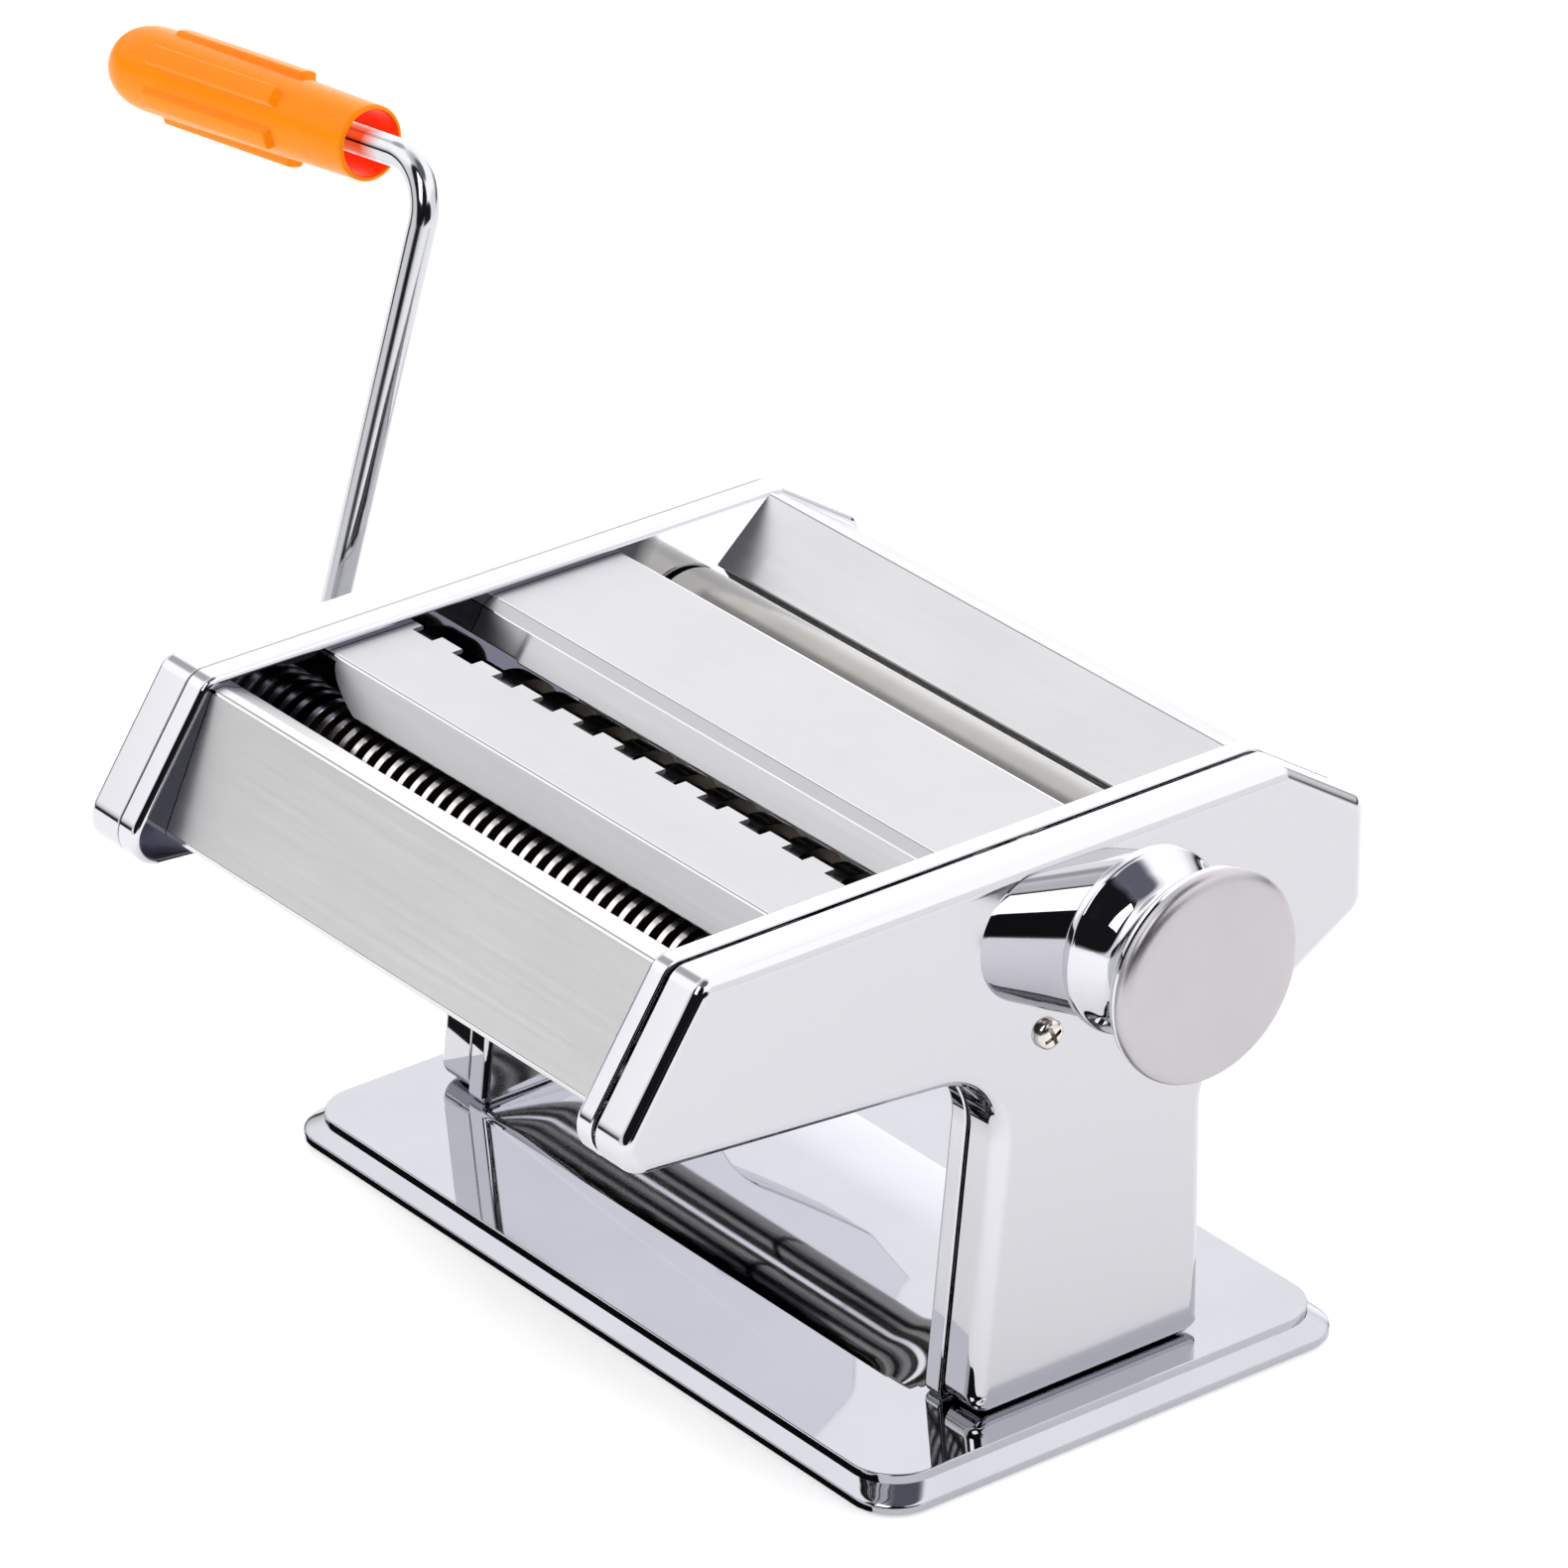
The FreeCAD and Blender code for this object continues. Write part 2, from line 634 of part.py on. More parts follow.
zn, zw = D["narrow_axis_z"], D["wide_axis_z"]
group("narrow_scrapers", [comb("narrow_front_comb", NF, np_, 36, 0.0, 1.3, zn - 12.6, zn - 10.5, zn - 8.2),
                          comb("narrow_rear_comb", NR, np_, 35, 0.0, 1.3, zn - 12.6, zn - 10.5, zn - 8.2)])
group("wide_scrapers", [comb("wide_front_comb", WF, wp, 10, 0.0, 5.6, zw - 13.0, zw - 10.6, zw - 8.2),
                        comb("wide_rear_comb", WR, wp, 11, 0.0, 5.6, zw - 13.0, zw - 10.6, zw - 8.2)])
group("roller_scrapers", [block("front_blade", -HALF, HALF, -3.0, -2.0, 92.0, 99.6),
                          block("rear_blade", -HALF, HALF, 27.0, 28.0, 88.0, 95.6)])

# ---------------------------------------------------------------- shaft bracket (crank side) and cover post
UP = (-17.5, 124.5)
b = body("shaft_bracket")
plate = [(-16.5, 88.2, 2.0), (-6.5, 88.2, 2.0), (7.6, 112.0, 3.0), (6.6, 121.5, 3.0), (-14.0, 127.4, 2.0),
         (-20.6, 126.6, 2.0), (-20.2, 120.8, 2.0), (-7.4, 113.0, 4.0)]
pad(b, "YZ_Plane", [ring(UP, 2.4)], -86.2, 86.2 - HALF - WEB, "upper_post")
pad(b, "YZ_Plane", rounded(plate) + [ring(KA, D["end_journal_rad"] + fit), ring(SCREW, D["screw_rad"])],
    -88.6, 2.4, "plate")
pad(b, "YZ_Plane", [ring(SCREW, D["post_rad"]), ring(SCREW, D["screw_rad"])], -90.5, 90.5 - HALF - WEB, "lower_post")
node(b, "shaft_bracket")

b = body("cover_post")
pad(b, "YZ_Plane", [ring(SCREW, D["post_rad"]), ring(SCREW, D["screw_rad"])], HALF + WEB, 90.5 - HALF - WEB, "tube")
node(b, "cover_post")

heads = []
for s, nm in ((-1, "left"), (1, "right")):
    pts = [(90.0 - 8.0, 0.0), (90.0 - 8.0, D["screw_rad"]), (FACE, D["screw_rad"]), (FACE, D["screw_head"]),
           (FACE + 0.9, D["screw_head"]), (FACE + 1.7, D["screw_head"] - 0.6), (FACE + 2.2, 1.6), (FACE + 2.3, 0.0)]
    h = turned("cover_screw_" + nm, [(s * a, r) for a, r in pts], SCREW[0], SCREW[1])
    cross = poly([(-2.0, -0.45), (-0.45, -0.45), (-0.45, -2.0), (0.45, -2.0), (0.45, -0.45), (2.0, -0.45),
                  (2.0, 0.45), (0.45, 0.45), (0.45, 2.0), (-0.45, 2.0), (-0.45, 0.45), (-2.0, 0.45)])
    pocket(h, "YZ_Plane", cross, s * (FACE + 3.0), 2.2, s < 0, "cross")
    heads.append(h)
group("cover_screws", heads)

# ---------------------------------------------------------------- eccentric shaft
ends = [rod("ecc_middle", "ecc_rad", GX0 - 0.8, HALF - 0.6, FR[0], FR[1]),
        rod("ecc_left_end", "end_journal_rad", -90.0, GX0 - 0.8, KA[0], KA[1]),
        rod("ecc_right_end", "knob_shaft_rad", HALF - 0.6, 104.8, KA[0], KA[1])]
flat = common("ecc_flats", rod("ecc_tip", "knob_shaft_rad", 104.8, 120.0, KA[0], KA[1]),
              block("ecc_flat_box", 104.0, 121.0, KA[0] - 6, KA[0] + 6, KA[1] - 4, KA[1] + 4))
tap = rod("ecc_tap", 2.0, 110.0, 121.0, KA[0], KA[1])
node(cut("ecc_shaft", fuse("ecc_fuse", ends + [flat]), tap), "eccentric_shaft")

# ---------------------------------------------------------------- knob neck
BASE_C = (-15.0, 115.2)
b = body("knob_boss")
x0 = FACE
x1 = FACE + D["boss_deep"]
ra_, rb_ = 12.3, 12.0


def four_arcs(c_left, r_left, c_right, r_right, a_top, a_bot):
    """Outline of a stadium: left arc, bottom line, right arc, top line."""
    def at(c, r, a):
        return Vector(c[0] + r * math.cos(math.radians(a)), c[1] + r * math.sin(math.radians(a)), 0)
    p1, p2, p3 = at(c_left, r_left, 180 - a_top), at(c_left, r_left, 180), at(c_left, r_left, 180 + a_bot)
    q1, q2, q3 = at(c_right, r_right, -180 + a_bot), at(c_right, r_right, 0), at(c_right, r_right, 180 - a_top)
    return p1, p2, p3, q1, q2, q3


p1, p2, p3, q1, q2, q3 = four_arcs(BASE_C, ra_, KA, rb_, 90.0, 90.0)
foot = [Part.Arc(p1, p2, p3), Part.LineSegment(p3, q1), Part.Arc(q1, q2, q3), Part.LineSegment(q3, p1)]
rB = D["boss_rad"]


def on_c(a):
    return Vector(KA[0] + rB * math.cos(math.radians(a)), KA[1] + rB * math.sin(math.radians(a)), 0)


tip = [Part.Arc(on_c(110), on_c(180), on_c(250)), Part.Arc(on_c(250), on_c(270), on_c(290)),
       Part.Arc(on_c(290), on_c(0), on_c(70)), Part.Arc(on_c(70), on_c(90), on_c(110))]
sk1 = sketch(b, "YZ_Plane", foot, x0, "foot")
sk2 = sketch(b, "YZ_Plane", tip, x1, "tip")
lf = b.newObject("PartDesign::AdditiveLoft", "knob_boss_loft")
lf.Profile = sk1
lf.Sections = [sk2]
lf.Ruled = True
doc.recompute()
pocket(b, "YZ_Plane", [ring(KA, D["knob_shaft_rad"] + 0.3)], x1, 20.0, False, "bore")
pc = D["pin_circle"]
w = D["pin_rad"] + 0.5
a0, a1 = math.radians(150.0 - 3.0), math.radians(270.0 + 3.0)


def pol(r, a):
    return Vector(KA[0] + r * math.cos(a), KA[1] + r * math.sin(a), 0)


am = (a0 + a1) / 2.0
e0 = pol(pc, a0) - Vector(-math.sin(a0), math.cos(a0), 0) * w
e1 = pol(pc, a1) + Vector(-math.sin(a1), math.cos(a1), 0) * w
track = [Part.Arc(pol(pc - w, a0), pol(pc - w, am), pol(pc - w, a1)), Part.Arc(pol(pc - w, a1), e1, pol(pc + w, a1)),
         Part.Arc(pol(pc + w, a1), pol(pc + w, am), pol(pc + w, a0)), Part.Arc(pol(pc + w, a0), e0, pol(pc - w, a0))]
pocket(b, "YZ_Plane", track, x1, 3.0, False, "track")
node(b, "knob_boss")

# ---------------------------------------------------------------- knob
KX = x1 + 0.5
prof = [(KX, 0.0), (KX, 19.7), (KX + 0.5, 20.2), (KX + 2.4, 20.2), (KX + 3.0, 19.3), (KX + 5.0, 18.3),
        (KX + 7.5, 17.8), (KX + 10.0, 18.0), (KX + 13.0, 19.2), (KX + 15.5, 21.0), (KX + 17.2, 22.4),
        (KX + 18.4, 22.9), (KX + 19.5, 22.9), (KX + 19.5, 14.5), (KX + 3.5, 14.5), (KX + 3.5, 0.0)]
b = turned("knob_body", prof, KA[0], KA[1])
fr = D["knob_shaft_rad"] + 0.06
fh = 4.06
fa = math.sqrt(fr * fr - fh * fh)
dd = [Part.Arc(Vector(fa, -fh, 0), Vector(fr, 0, 0), Vector(fa, fh, 0)), seg((fa, fh), (-fa, fh)),
      Part.Arc(Vector(-fa, fh, 0), Vector(-fr, 0, 0), Vector(-fa, -fh, 0)), seg((-fa, -fh), (fa, -fh))]
pocket(b, "YZ_Plane", dd, KX, 5.0, True, "flats")
ca, sa = math.cos(math.radians(150.0)), math.sin(math.radians(150.0))
pocket(b, "YZ_Plane", [ring((pc * ca, pc * sa), D["pin_rad"])], KX, 5.0, True, "pin_hole")
# threaded hole in the skirt for the fixing screw
GA = math.radians(223.0)
gx = KX + 5.2
pin_h = doc.addObject("Part::Cylinder", "grub_hole")
pin_h.Radius = 1.5
pin_h.Height = 12.0
gdir = Vector(0, math.cos(GA), math.sin(GA))
pin_h.Placement = Placement(Vector(gx, KA[0], KA[1]) + gdir * 13.0, Rotation(Vector(0, 0, 1), gdir))
node(cut("knob_body_drilled", b, pin_h), "knob_body")
grub = doc.addObject("Part::Cylinder", "grub_screw")
grub.Radius = 1.5
grub.Height = 2.8
grub.Placement = Placement(Vector(gx, KA[0], KA[1]) + gdir * 14.6, Rotation(Vector(0, 0, 1), gdir))
gbox = doc.addObject("Part::Box", "grub_slot")
gbox.Length, gbox.Width, gbox.Height = 4.0, 0.6, 1.0
gbox.Placement = Placement(Vector(gx, KA[0], KA[1]) + gdir * 16.8, Rotation(Vector(0, 0, 1), gdir)).multiply(
    Placement(Vector(-2.0, -0.3, 0), Rotation()))
node(cut("grub_slotted", grub, gbox), "knob_grub_screw")

cap = [(KX + 19.5, 0.0), (KX + 19.5, 12.6), (KX + 16.5, 12.6), (KX + 16.5, 14.45), (KX + 19.5, 14.45),
       (KX + 19.5, 22.5), (KX + 20.1, 23.1), (KX + 21.2, 23.1), (KX + 22.2, 22.5), (KX + 22.9, 21.2),
       (KX + 23.3, 18.5), (KX + 23.8, 12.0), (KX + 24.1, 5.0), (KX + 24.2, 0.0)]
node(turned("knob_cap", cap, KA[0], KA[1]), "knob_cap")

ip = rod("index_pin", "pin_rad", KX - 2.5, KX + 3.5, KA[0] + pc * ca, KA[1] + pc * sa)
node(ip, "index_pin")

ws = cut("washer_ring", rod("washer_disc", 8.4, 120.0, 121.2, KA[0], KA[1]),
         rod("washer_hole", 2.1, 119.0, 122.0, KA[0], KA[1]))
node(ws, "knob_washer")
ks = fuse("retaining_screw", [rod("retaining_shank", 2.0, 110.5, 121.2, KA[0], KA[1]),
                              rod("retaining_head", 3.8, 121.2, 123.4, KA[0], KA[1])])
node(ks, "knob_screw")

# coil spring between the knob web and the washer
turns = 4.0
sx0, sx1 = KX + 3.6 + D["spring_wire"], 119.9 - D["spring_wire"]
helix = Part.makeHelix((sx1 - sx0) / turns, sx1 - sx0, D["spring_rad"])
start = Vector(D["spring_rad"], 0, 0)
wire = Part.Wire([Part.makeCircle(D["spring_wire"], start, Vector(0, 1, 0.25))])
coil = Part.Wire(helix).makePipeShell([wire], True, True)
sp = doc.addObject("Part::Feature", "knob_spring_coil")
sp.Shape = coil
sp.Placement = Placement(Vector(sx0, KA[0], KA[1]), ALONG_X)
node(sp, "knob_spring")

# ---------------------------------------------------------------- crank
LEAN = Rotation(Vector(1, 0, 0), -D["crank_lean"])
SOCK = Vector(0, WF[0], WF[1])
dr = math.radians(D["grip_droop"])
xa, throw, rb = D["arm_x"], D["crank_throw"], D["rod_bend"]
pin_dir = Vector(-math.cos(dr), 0, -math.sin(dr))
corner = Vector(-xa, 0, throw)
tip_end = corner + pin_dir * (D["grip_start"] + 76.0)
pts = [(-80.0, 0.0, 0), (-xa, 0.0, rb), (-xa, throw, rb), (tip_end.x, tip_end.z, 0)]
path = [g for g in rounded(pts)][:]
path = [g for g in path if not (isinstance(g, Part.LineSegment)
                                and (g.StartPoint - Vector(tip_end.x, tip_end.z, 0)).Length < 1e-6)]
b = body("crank_rod")
sp_ = sketch(b, "XZ_Plane", path, 0.0, "path")
sc = sketch(b, "YZ_Plane", [ring((0, 0), D["rod_rad"])], -80.0, "section")
pipe = b.newObject("PartDesign::AdditivePipe", "crank_rod_pipe")
pipe.Profile = sc
pipe.Spine = (sp_, ["Edge%d" % (i + 1) for i in range(len(path))])
b.Placement = Placement(SOCK, LEAN)
doc.recompute()
hole = doc.addObject("Part::Cylinder", "drive_pin_hole")
hole.Radius = 1.0
hole.Height = 9.4
PINP = Placement(SOCK, Rotation()).multiply(Placement(Vector(-89.4, 0, -4.7), Rotation()))
hole.Placement = PINP
node(cut("crank_rod_drilled", b, hole), "crank_rod")
dp = doc.addObject("Part::Cylinder", "drive_pin")
dp.Radius = 1.0
dp.Height = 9.4
dp.Placement = PINP
node(dp, "crank_drive_pin")

# grip: hollow tapered handle with raised ribs, open towards the arm
GL = D["grip_length"]
RB = D["rod_rad"] + 0.06
gp = [(0.0, D["grip_bore"]), (0.0, 8.0), (0.4, 8.25), (30.0, 8.7), (60.0, 9.2), (76.0, 9.4), (80.5, 9.0), (84.0, 7.6),
      (86.5, 5.2), (87.7, 2.6), (88.0, 0.0), (84.0, 0.0), (82.0, 4.5), (78.0, 6.2), (66.0, 6.2), (66.0, RB),
      (42.0, RB), (42.0, 6.6)]
b = body("grip")
sk = sketch(b, "XY_Plane", poly(gp), 0.0, "profile")
f = b.newObject("PartDesign::Revolution", "grip_turn")
f.Profile = sk
f.ReferenceAxis = (sk, ["H_Axis"])
f.Angle = 360.0
ribs = []
for k in range(6):
    c = math.radians(60.0 * k + 30.0)
    h = math.radians(13.0)
    def pt(r, a):
        return Vector(r * math.cos(a), r * math.sin(a), 0)
    r0, r1 = 8.3, 10.5
    ribs += [Part.Arc(pt(r1, c - h), pt(r1, c), pt(r1, c + h)), Part.LineSegment(pt(r1, c + h), pt(r0, c + h)),
             Part.Arc(pt(r0, c + h), pt(r0, c), pt(r0, c - h)), Part.LineSegment(pt(r0, c - h), pt(r1, c - h))]
pad(b, "YZ_Plane", ribs, 24.0, 45.0, "ribs")
gdirw = LEAN.multVec(pin_dir)
gbase = SOCK + LEAN.multVec(corner + pin_dir * D["grip_start"])
GROT = Rotation(Vector(1, 0, 0), gdirw)
b.Placement = Placement(gbase, GROT)
node(b, "grip")

gw = turned("grip_washer", [(66.3, D["rod_rad"]), (66.3, 5.2), (67.6, 5.2), (67.6, D["rod_rad"])], 0, 0)
gw.Placement = Placement(gbase, GROT)
node(gw, "grip_washer")

# ---------------------------------------------------------------- check and write
doc.recompute()
bad = []
for o in doc.Objects:
    st = " ".join(o.State)
    if "Invalid" in st or "Error" in st:
        bad.append(o.Name + ": " + st)
for label, o in NODES:
    if o.Shape.isNull() or not o.Shape.isValid() or o.Shape.Volume < 0.1:
        bad.append(label + ": bad shape")
if bad:
    raise RuntimeError("; ".join(bad))
if len(set(n for n, _ in NODES)) != len(NODES) or len(NODES) > 60:
    raise RuntimeError("node names")
os.makedirs("parts", exist_ok=True)
for label, o in NODES:
    o.Shape.exportStep("parts/" + label + ".step")
    bb = o.Shape.BoundBox
    print("%-22s solids %2d vol %9.1f  x %7.1f %7.1f  y %7.1f %7.1f  z %6.1f %6.1f" % (
        label, len(o.Shape.Solids), o.Shape.Volume, bb.XMin, bb.XMax, bb.YMin, bb.YMax, bb.ZMin, bb.ZMax))
print("pin direction", gdirw, "grip base", gbase, "front roller axis", FR, "knob axis", KA)
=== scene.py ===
import json
import math

import bmesh
import bpy
from mathutils import Matrix, Vector
from mathutils.geometry import tessellate_polygon


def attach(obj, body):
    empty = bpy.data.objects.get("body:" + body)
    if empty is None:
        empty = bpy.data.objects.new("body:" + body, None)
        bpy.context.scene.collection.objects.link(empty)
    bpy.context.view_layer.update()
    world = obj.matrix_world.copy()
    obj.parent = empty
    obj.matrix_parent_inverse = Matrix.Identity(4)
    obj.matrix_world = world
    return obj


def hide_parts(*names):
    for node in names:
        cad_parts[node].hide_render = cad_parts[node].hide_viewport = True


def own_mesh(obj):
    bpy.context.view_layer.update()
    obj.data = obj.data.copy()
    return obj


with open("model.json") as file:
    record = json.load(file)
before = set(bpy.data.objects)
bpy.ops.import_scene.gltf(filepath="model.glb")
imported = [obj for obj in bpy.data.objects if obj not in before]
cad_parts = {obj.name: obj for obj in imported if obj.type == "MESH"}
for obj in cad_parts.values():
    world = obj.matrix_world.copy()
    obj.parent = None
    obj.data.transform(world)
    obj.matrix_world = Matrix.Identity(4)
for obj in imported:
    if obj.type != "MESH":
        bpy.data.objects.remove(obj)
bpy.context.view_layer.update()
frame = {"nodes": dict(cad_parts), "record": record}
NODES = frame["nodes"]
MM = 0.001

# ------------------------------------------------------------------ materials


def shader(name):
    m = bpy.data.materials.new(name)
    m.use_nodes = True
    nt = m.node_tree
    nt.nodes.clear()
    out = nt.nodes.new("ShaderNodeOutputMaterial")
    b = nt.nodes.new("ShaderNodeBsdfPrincipled")
    nt.links.new(b.outputs["BSDF"], out.inputs["Surface"])
    tc = nt.nodes.new("ShaderNodeTexCoord")
    return m, nt, b, tc


def noise(nt, tc, scale, stretch=(1, 1, 1), detail=3.0, rough=0.55):
    mp = nt.nodes.new("ShaderNodeMapping")
    mp.inputs["Scale"].default_value = stretch
    nt.links.new(tc.outputs["Object"], mp.inputs["Vector"])
    n = nt.nodes.new("ShaderNodeTexNoise")
    n.inputs["Scale"].default_value = scale
    n.inputs["Detail"].default_value = detail
    n.inputs["Roughness"].default_value = rough
    nt.links.new(mp.outputs["Vector"], n.inputs["Vector"])
    return n


def ramp(nt, src, stops):
    r = nt.nodes.new("ShaderNodeValToRGB")
    el = r.color_ramp.elements
    while len(el) < len(stops):
        el.new(0.5)
    for e, (p, c) in zip(el, stops):
        e.position = p
        e.color = (c[0], c[1], c[2], 1.0)
    nt.links.new(src, r.inputs["Fac"])
    return r


def spread(nt, src, lo, hi):
    r = nt.nodes.new("ShaderNodeMapRange")
    r.inputs["From Min"].default_value = 0.25
    r.inputs["From Max"].default_value = 0.75
    r.inputs["To Min"].default_value = lo
    r.inputs["To Max"].default_value = hi
    nt.links.new(src, r.inputs["Value"])
    return r


def bump(nt, b, src, strength, distance):
    bp = nt.nodes.new("ShaderNodeBump")
    bp.inputs["Strength"].default_value = strength
    bp.inputs["Distance"].default_value = distance
    nt.links.new(src, bp.inputs["Height"])
    nt.links.new(bp.outputs["Normal"], b.inputs["Normal"])


def metal(name, dark, light, r_lo, r_hi, scale=60.0, stretch=(1, 1, 1), wave=None, grain=None):
    """Metal whose tone and gloss drift over the surface; wave is a slow dent, grain a fine lay."""
    m, nt, b, tc = shader(name)
    b.inputs["Metallic"].default_value = 1.0
    n = noise(nt, tc, scale, stretch)
    nt.links.new(ramp(nt, n.outputs["Fac"], [(0.3, dark), (0.7, light)]).outputs["Color"], b.inputs["Base Color"])
    src = n
    if grain:
        src = noise(nt, tc, grain[0], grain[1], 2.0)
    nt.links.new(spread(nt, src.outputs["Fac"], r_lo, r_hi).outputs["Result"], b.inputs["Roughness"])
    if wave:
        w = noise(nt, tc, wave[0], (1, 1, 1), 1.0)
        bump(nt, b, w.outputs["Fac"], wave[1], wave[2])
    elif grain:
        bump(nt, b, src.outputs["Fac"], grain[2], grain[3])
    return m


def plastic(name, stops, r_lo, r_hi, scale, fine, coat=0.0, sss=0.0):
    m, nt, b, tc = shader(name)
    n = noise(nt, tc, scale)
    nt.links.new(ramp(nt, n.outputs["Fac"], stops).outputs["Color"], b.inputs["Base Color"])
    f = noise(nt, tc, fine[0], (1, 1, 1), 2.0)
    nt.links.new(spread(nt, f.outputs["Fac"], r_lo, r_hi).outputs["Result"], b.inputs["Roughness"])
    bump(nt, b, f.outputs["Fac"], fine[1], fine[2])
    if coat:
        b.inputs["Coat Weight"].default_value = coat
        b.inputs["Coat Roughness"].default_value = 0.08
    if sss:
        b.inputs["Subsurface Weight"].default_value = sss
        b.inputs["Subsurface Radius"].default_value = (1.0, 0.35, 0.1)
        b.inputs["Subsurface Scale"].default_value = 0.0015
    return m


def faced(name, dark, light, r_edge, r_flat):
    """Chrome with a bright rolled edge and a softer polish on the flats that face sideways."""
    m, nt, b, tc = shader(name)
    b.inputs["Metallic"].default_value = 1.0
    sx = nt.nodes.new("ShaderNodeSeparateXYZ")
    nt.links.new(tc.outputs["Normal"], sx.inputs["Vector"])
    ab = nt.nodes.new("ShaderNodeMath")
    ab.operation = "ABSOLUTE"
    nt.links.new(sx.outputs["X"], ab.inputs[0])
    nt.links.new(ramp(nt, ab.outputs["Value"], [(0.93, light), (0.999, dark)]).outputs["Color"], b.inputs["Base Color"])
    r = nt.nodes.new("ShaderNodeMapRange")
    r.interpolation_type = "SMOOTHSTEP"
    r.inputs["From Min"].default_value = 0.96
    r.inputs["From Max"].default_value = 0.999
    r.inputs["To Min"].default_value = r_edge
    r.inputs["To Max"].default_value = r_flat
    nt.links.new(ab.outputs["Value"], r.inputs["Value"])
    nt.links.new(r.outputs["Result"], b.inputs["Roughness"])
    w = noise(nt, tc, 60.0, (1, 1, 1), 1.0)
    bump(nt, b, w.outputs["Fac"], 0.03, 0.0005)
    return m


def rod_painted_bore_reflection(name, axis, start, grow):
    """Bright rod with a painted reflection of the grip's bore: its colour turns deep orange-red where it runs inside
    the grip.
    """
    m, nt, b, tc = shader(name)
    b.inputs["Metallic"].default_value = 1.0
    d = nt.nodes.new("ShaderNodeVectorMath")
    d.operation = "DOT_PRODUCT"
    d.inputs[1].default_value = axis
    nt.links.new(tc.outputs["Object"], d.inputs[0])
    r = nt.nodes.new("ShaderNodeMapRange")
    r.inputs["From Min"].default_value = start
    r.inputs["From Max"].default_value = start + grow
    nt.links.new(d.outputs["Value"], r.inputs["Value"])
    # painted reflection: silver turns to the bore's orange-red past the grip's mouth
    nt.links.new(ramp(nt, r.outputs["Result"], [(0.0, (0.57, 0.575, 0.59)), (1.0, (0.62, 0.045, 0.002))]).outputs["Color"], b.inputs["Base Color"])
    n = noise(nt, tc, 45.0)
    nt.links.new(spread(nt, n.outputs["Fac"], 0.06, 0.11).outputs["Result"], b.inputs["Roughness"])
    return m


def inner_wall_painted_shade(name):
    """Inside of a cheek: bright on the leg and at the rear, with painted shade making it dark up front beside the
    cutters.
    """
    m, nt, b, tc = shader(name)
    b.inputs["Metallic"].default_value = 1.0
    sx = nt.nodes.new("ShaderNodeSeparateXYZ")
    nt.links.new(tc.outputs["Object"], sx.inputs["Vector"])
    w = nt.nodes.new("ShaderNodeMath")
    w.operation = "SUBTRACT"
    k = nt.nodes.new("ShaderNodeMath")
    k.operation = "MULTIPLY"
    k.inputs[1].default_value = 1.6
    nt.links.new(sx.outputs["Y"], k.inputs[0])
    nt.links.new(sx.outputs["Z"], w.inputs[0])
    nt.links.new(k.outputs["Value"], w.inputs[1])
    h = nt.nodes.new("ShaderNodeMapRange")
    h.inputs["From Min"].default_value = 0.098
    h.inputs["From Max"].default_value = 0.108
    nt.links.new(w.outputs["Value"], h.inputs["Value"])
    # painted shade: above a slanting line towards the front and top, the wall turns near black
    nt.links.new(ramp(nt, h.outputs["Result"], [(0.0, (0.84, 0.845, 0.875)), (1.0, (0.15, 0.15, 0.19))]).outputs["Color"], b.inputs["Base Color"])
    n = noise(nt, tc, 60.0)
    nt.links.new(spread(nt, n.outputs["Fac"], 0.04, 0.10).outputs["Result"], b.inputs["Roughness"])
    return m


CHROME = metal("mirror_chrome", (0.60, 0.60, 0.63), (0.63, 0.63, 0.66), 0.02, 0.04, 45.0, wave=(55.0, 0.03, 0.0005))
COVER = faced("cover_chrome", (0.55, 0.55, 0.572), (0.60, 0.60, 0.625), 0.03, 0.14)
NECK = metal("neck_chrome", (0.40, 0.395, 0.43), (0.43, 0.425, 0.46), 0.03, 0.05, 45.0, wave=(55.0, 0.03, 0.0005))
INSIDE_PAINTED_SHADE = inner_wall_painted_shade("cheek_inside_painted_shade")
DECK = metal("deck_chrome", (0.425, 0.43, 0.465), (0.45, 0.455, 0.49), 0.03, 0.05, 30.0, wave=(30.0, 0.02, 0.0005))
SHEET = metal("polished_sheet", (0.535, 0.535, 0.545), (0.56, 0.56, 0.57), 0.32, 0.38, 30.0, grain=(900.0, (0.02, 1, 1), 0.02, 0.0002))
# painted shade: a darker copy of the polished sheet, for the cutter guard and the top panel
TOPS_PAINTED_SHADE = metal("upper_sheet_painted_shade", (0.49, 0.49, 0.502), (0.515, 0.515, 0.527), 0.32, 0.38, 30.0, grain=(900.0, (0.02, 1, 1), 0.02, 0.0002))
# painted light: a lighter copy of the polished sheet, for the front panel
FRONT_PAINTED_LIGHT = metal("front_sheet_painted_light", (0.695, 0.695, 0.693), (0.725, 0.725, 0.723), 0.34, 0.40, 30.0, grain=(900.0, (0.02, 1, 1), 0.02, 0.0002))
FOLD = metal("folded_edge", (0.60, 0.60, 0.61), (0.64, 0.64, 0.65), 0.06, 0.10, 60.0, grain=(900.0, (0.02, 1, 1), 0.02, 0.0002))
# painted shade: the insides and undersides of the folded sheets take this near-black copy of the sheet steel
SHEET_UNDERSIDE_SHADE = metal("sheet_inside_painted_shade", (0.045, 0.045, 0.047), (0.07, 0.07, 0.072), 0.35, 0.5, 60.0, grain=(500.0, (1, 1, 1), 0.04, 0.0002))
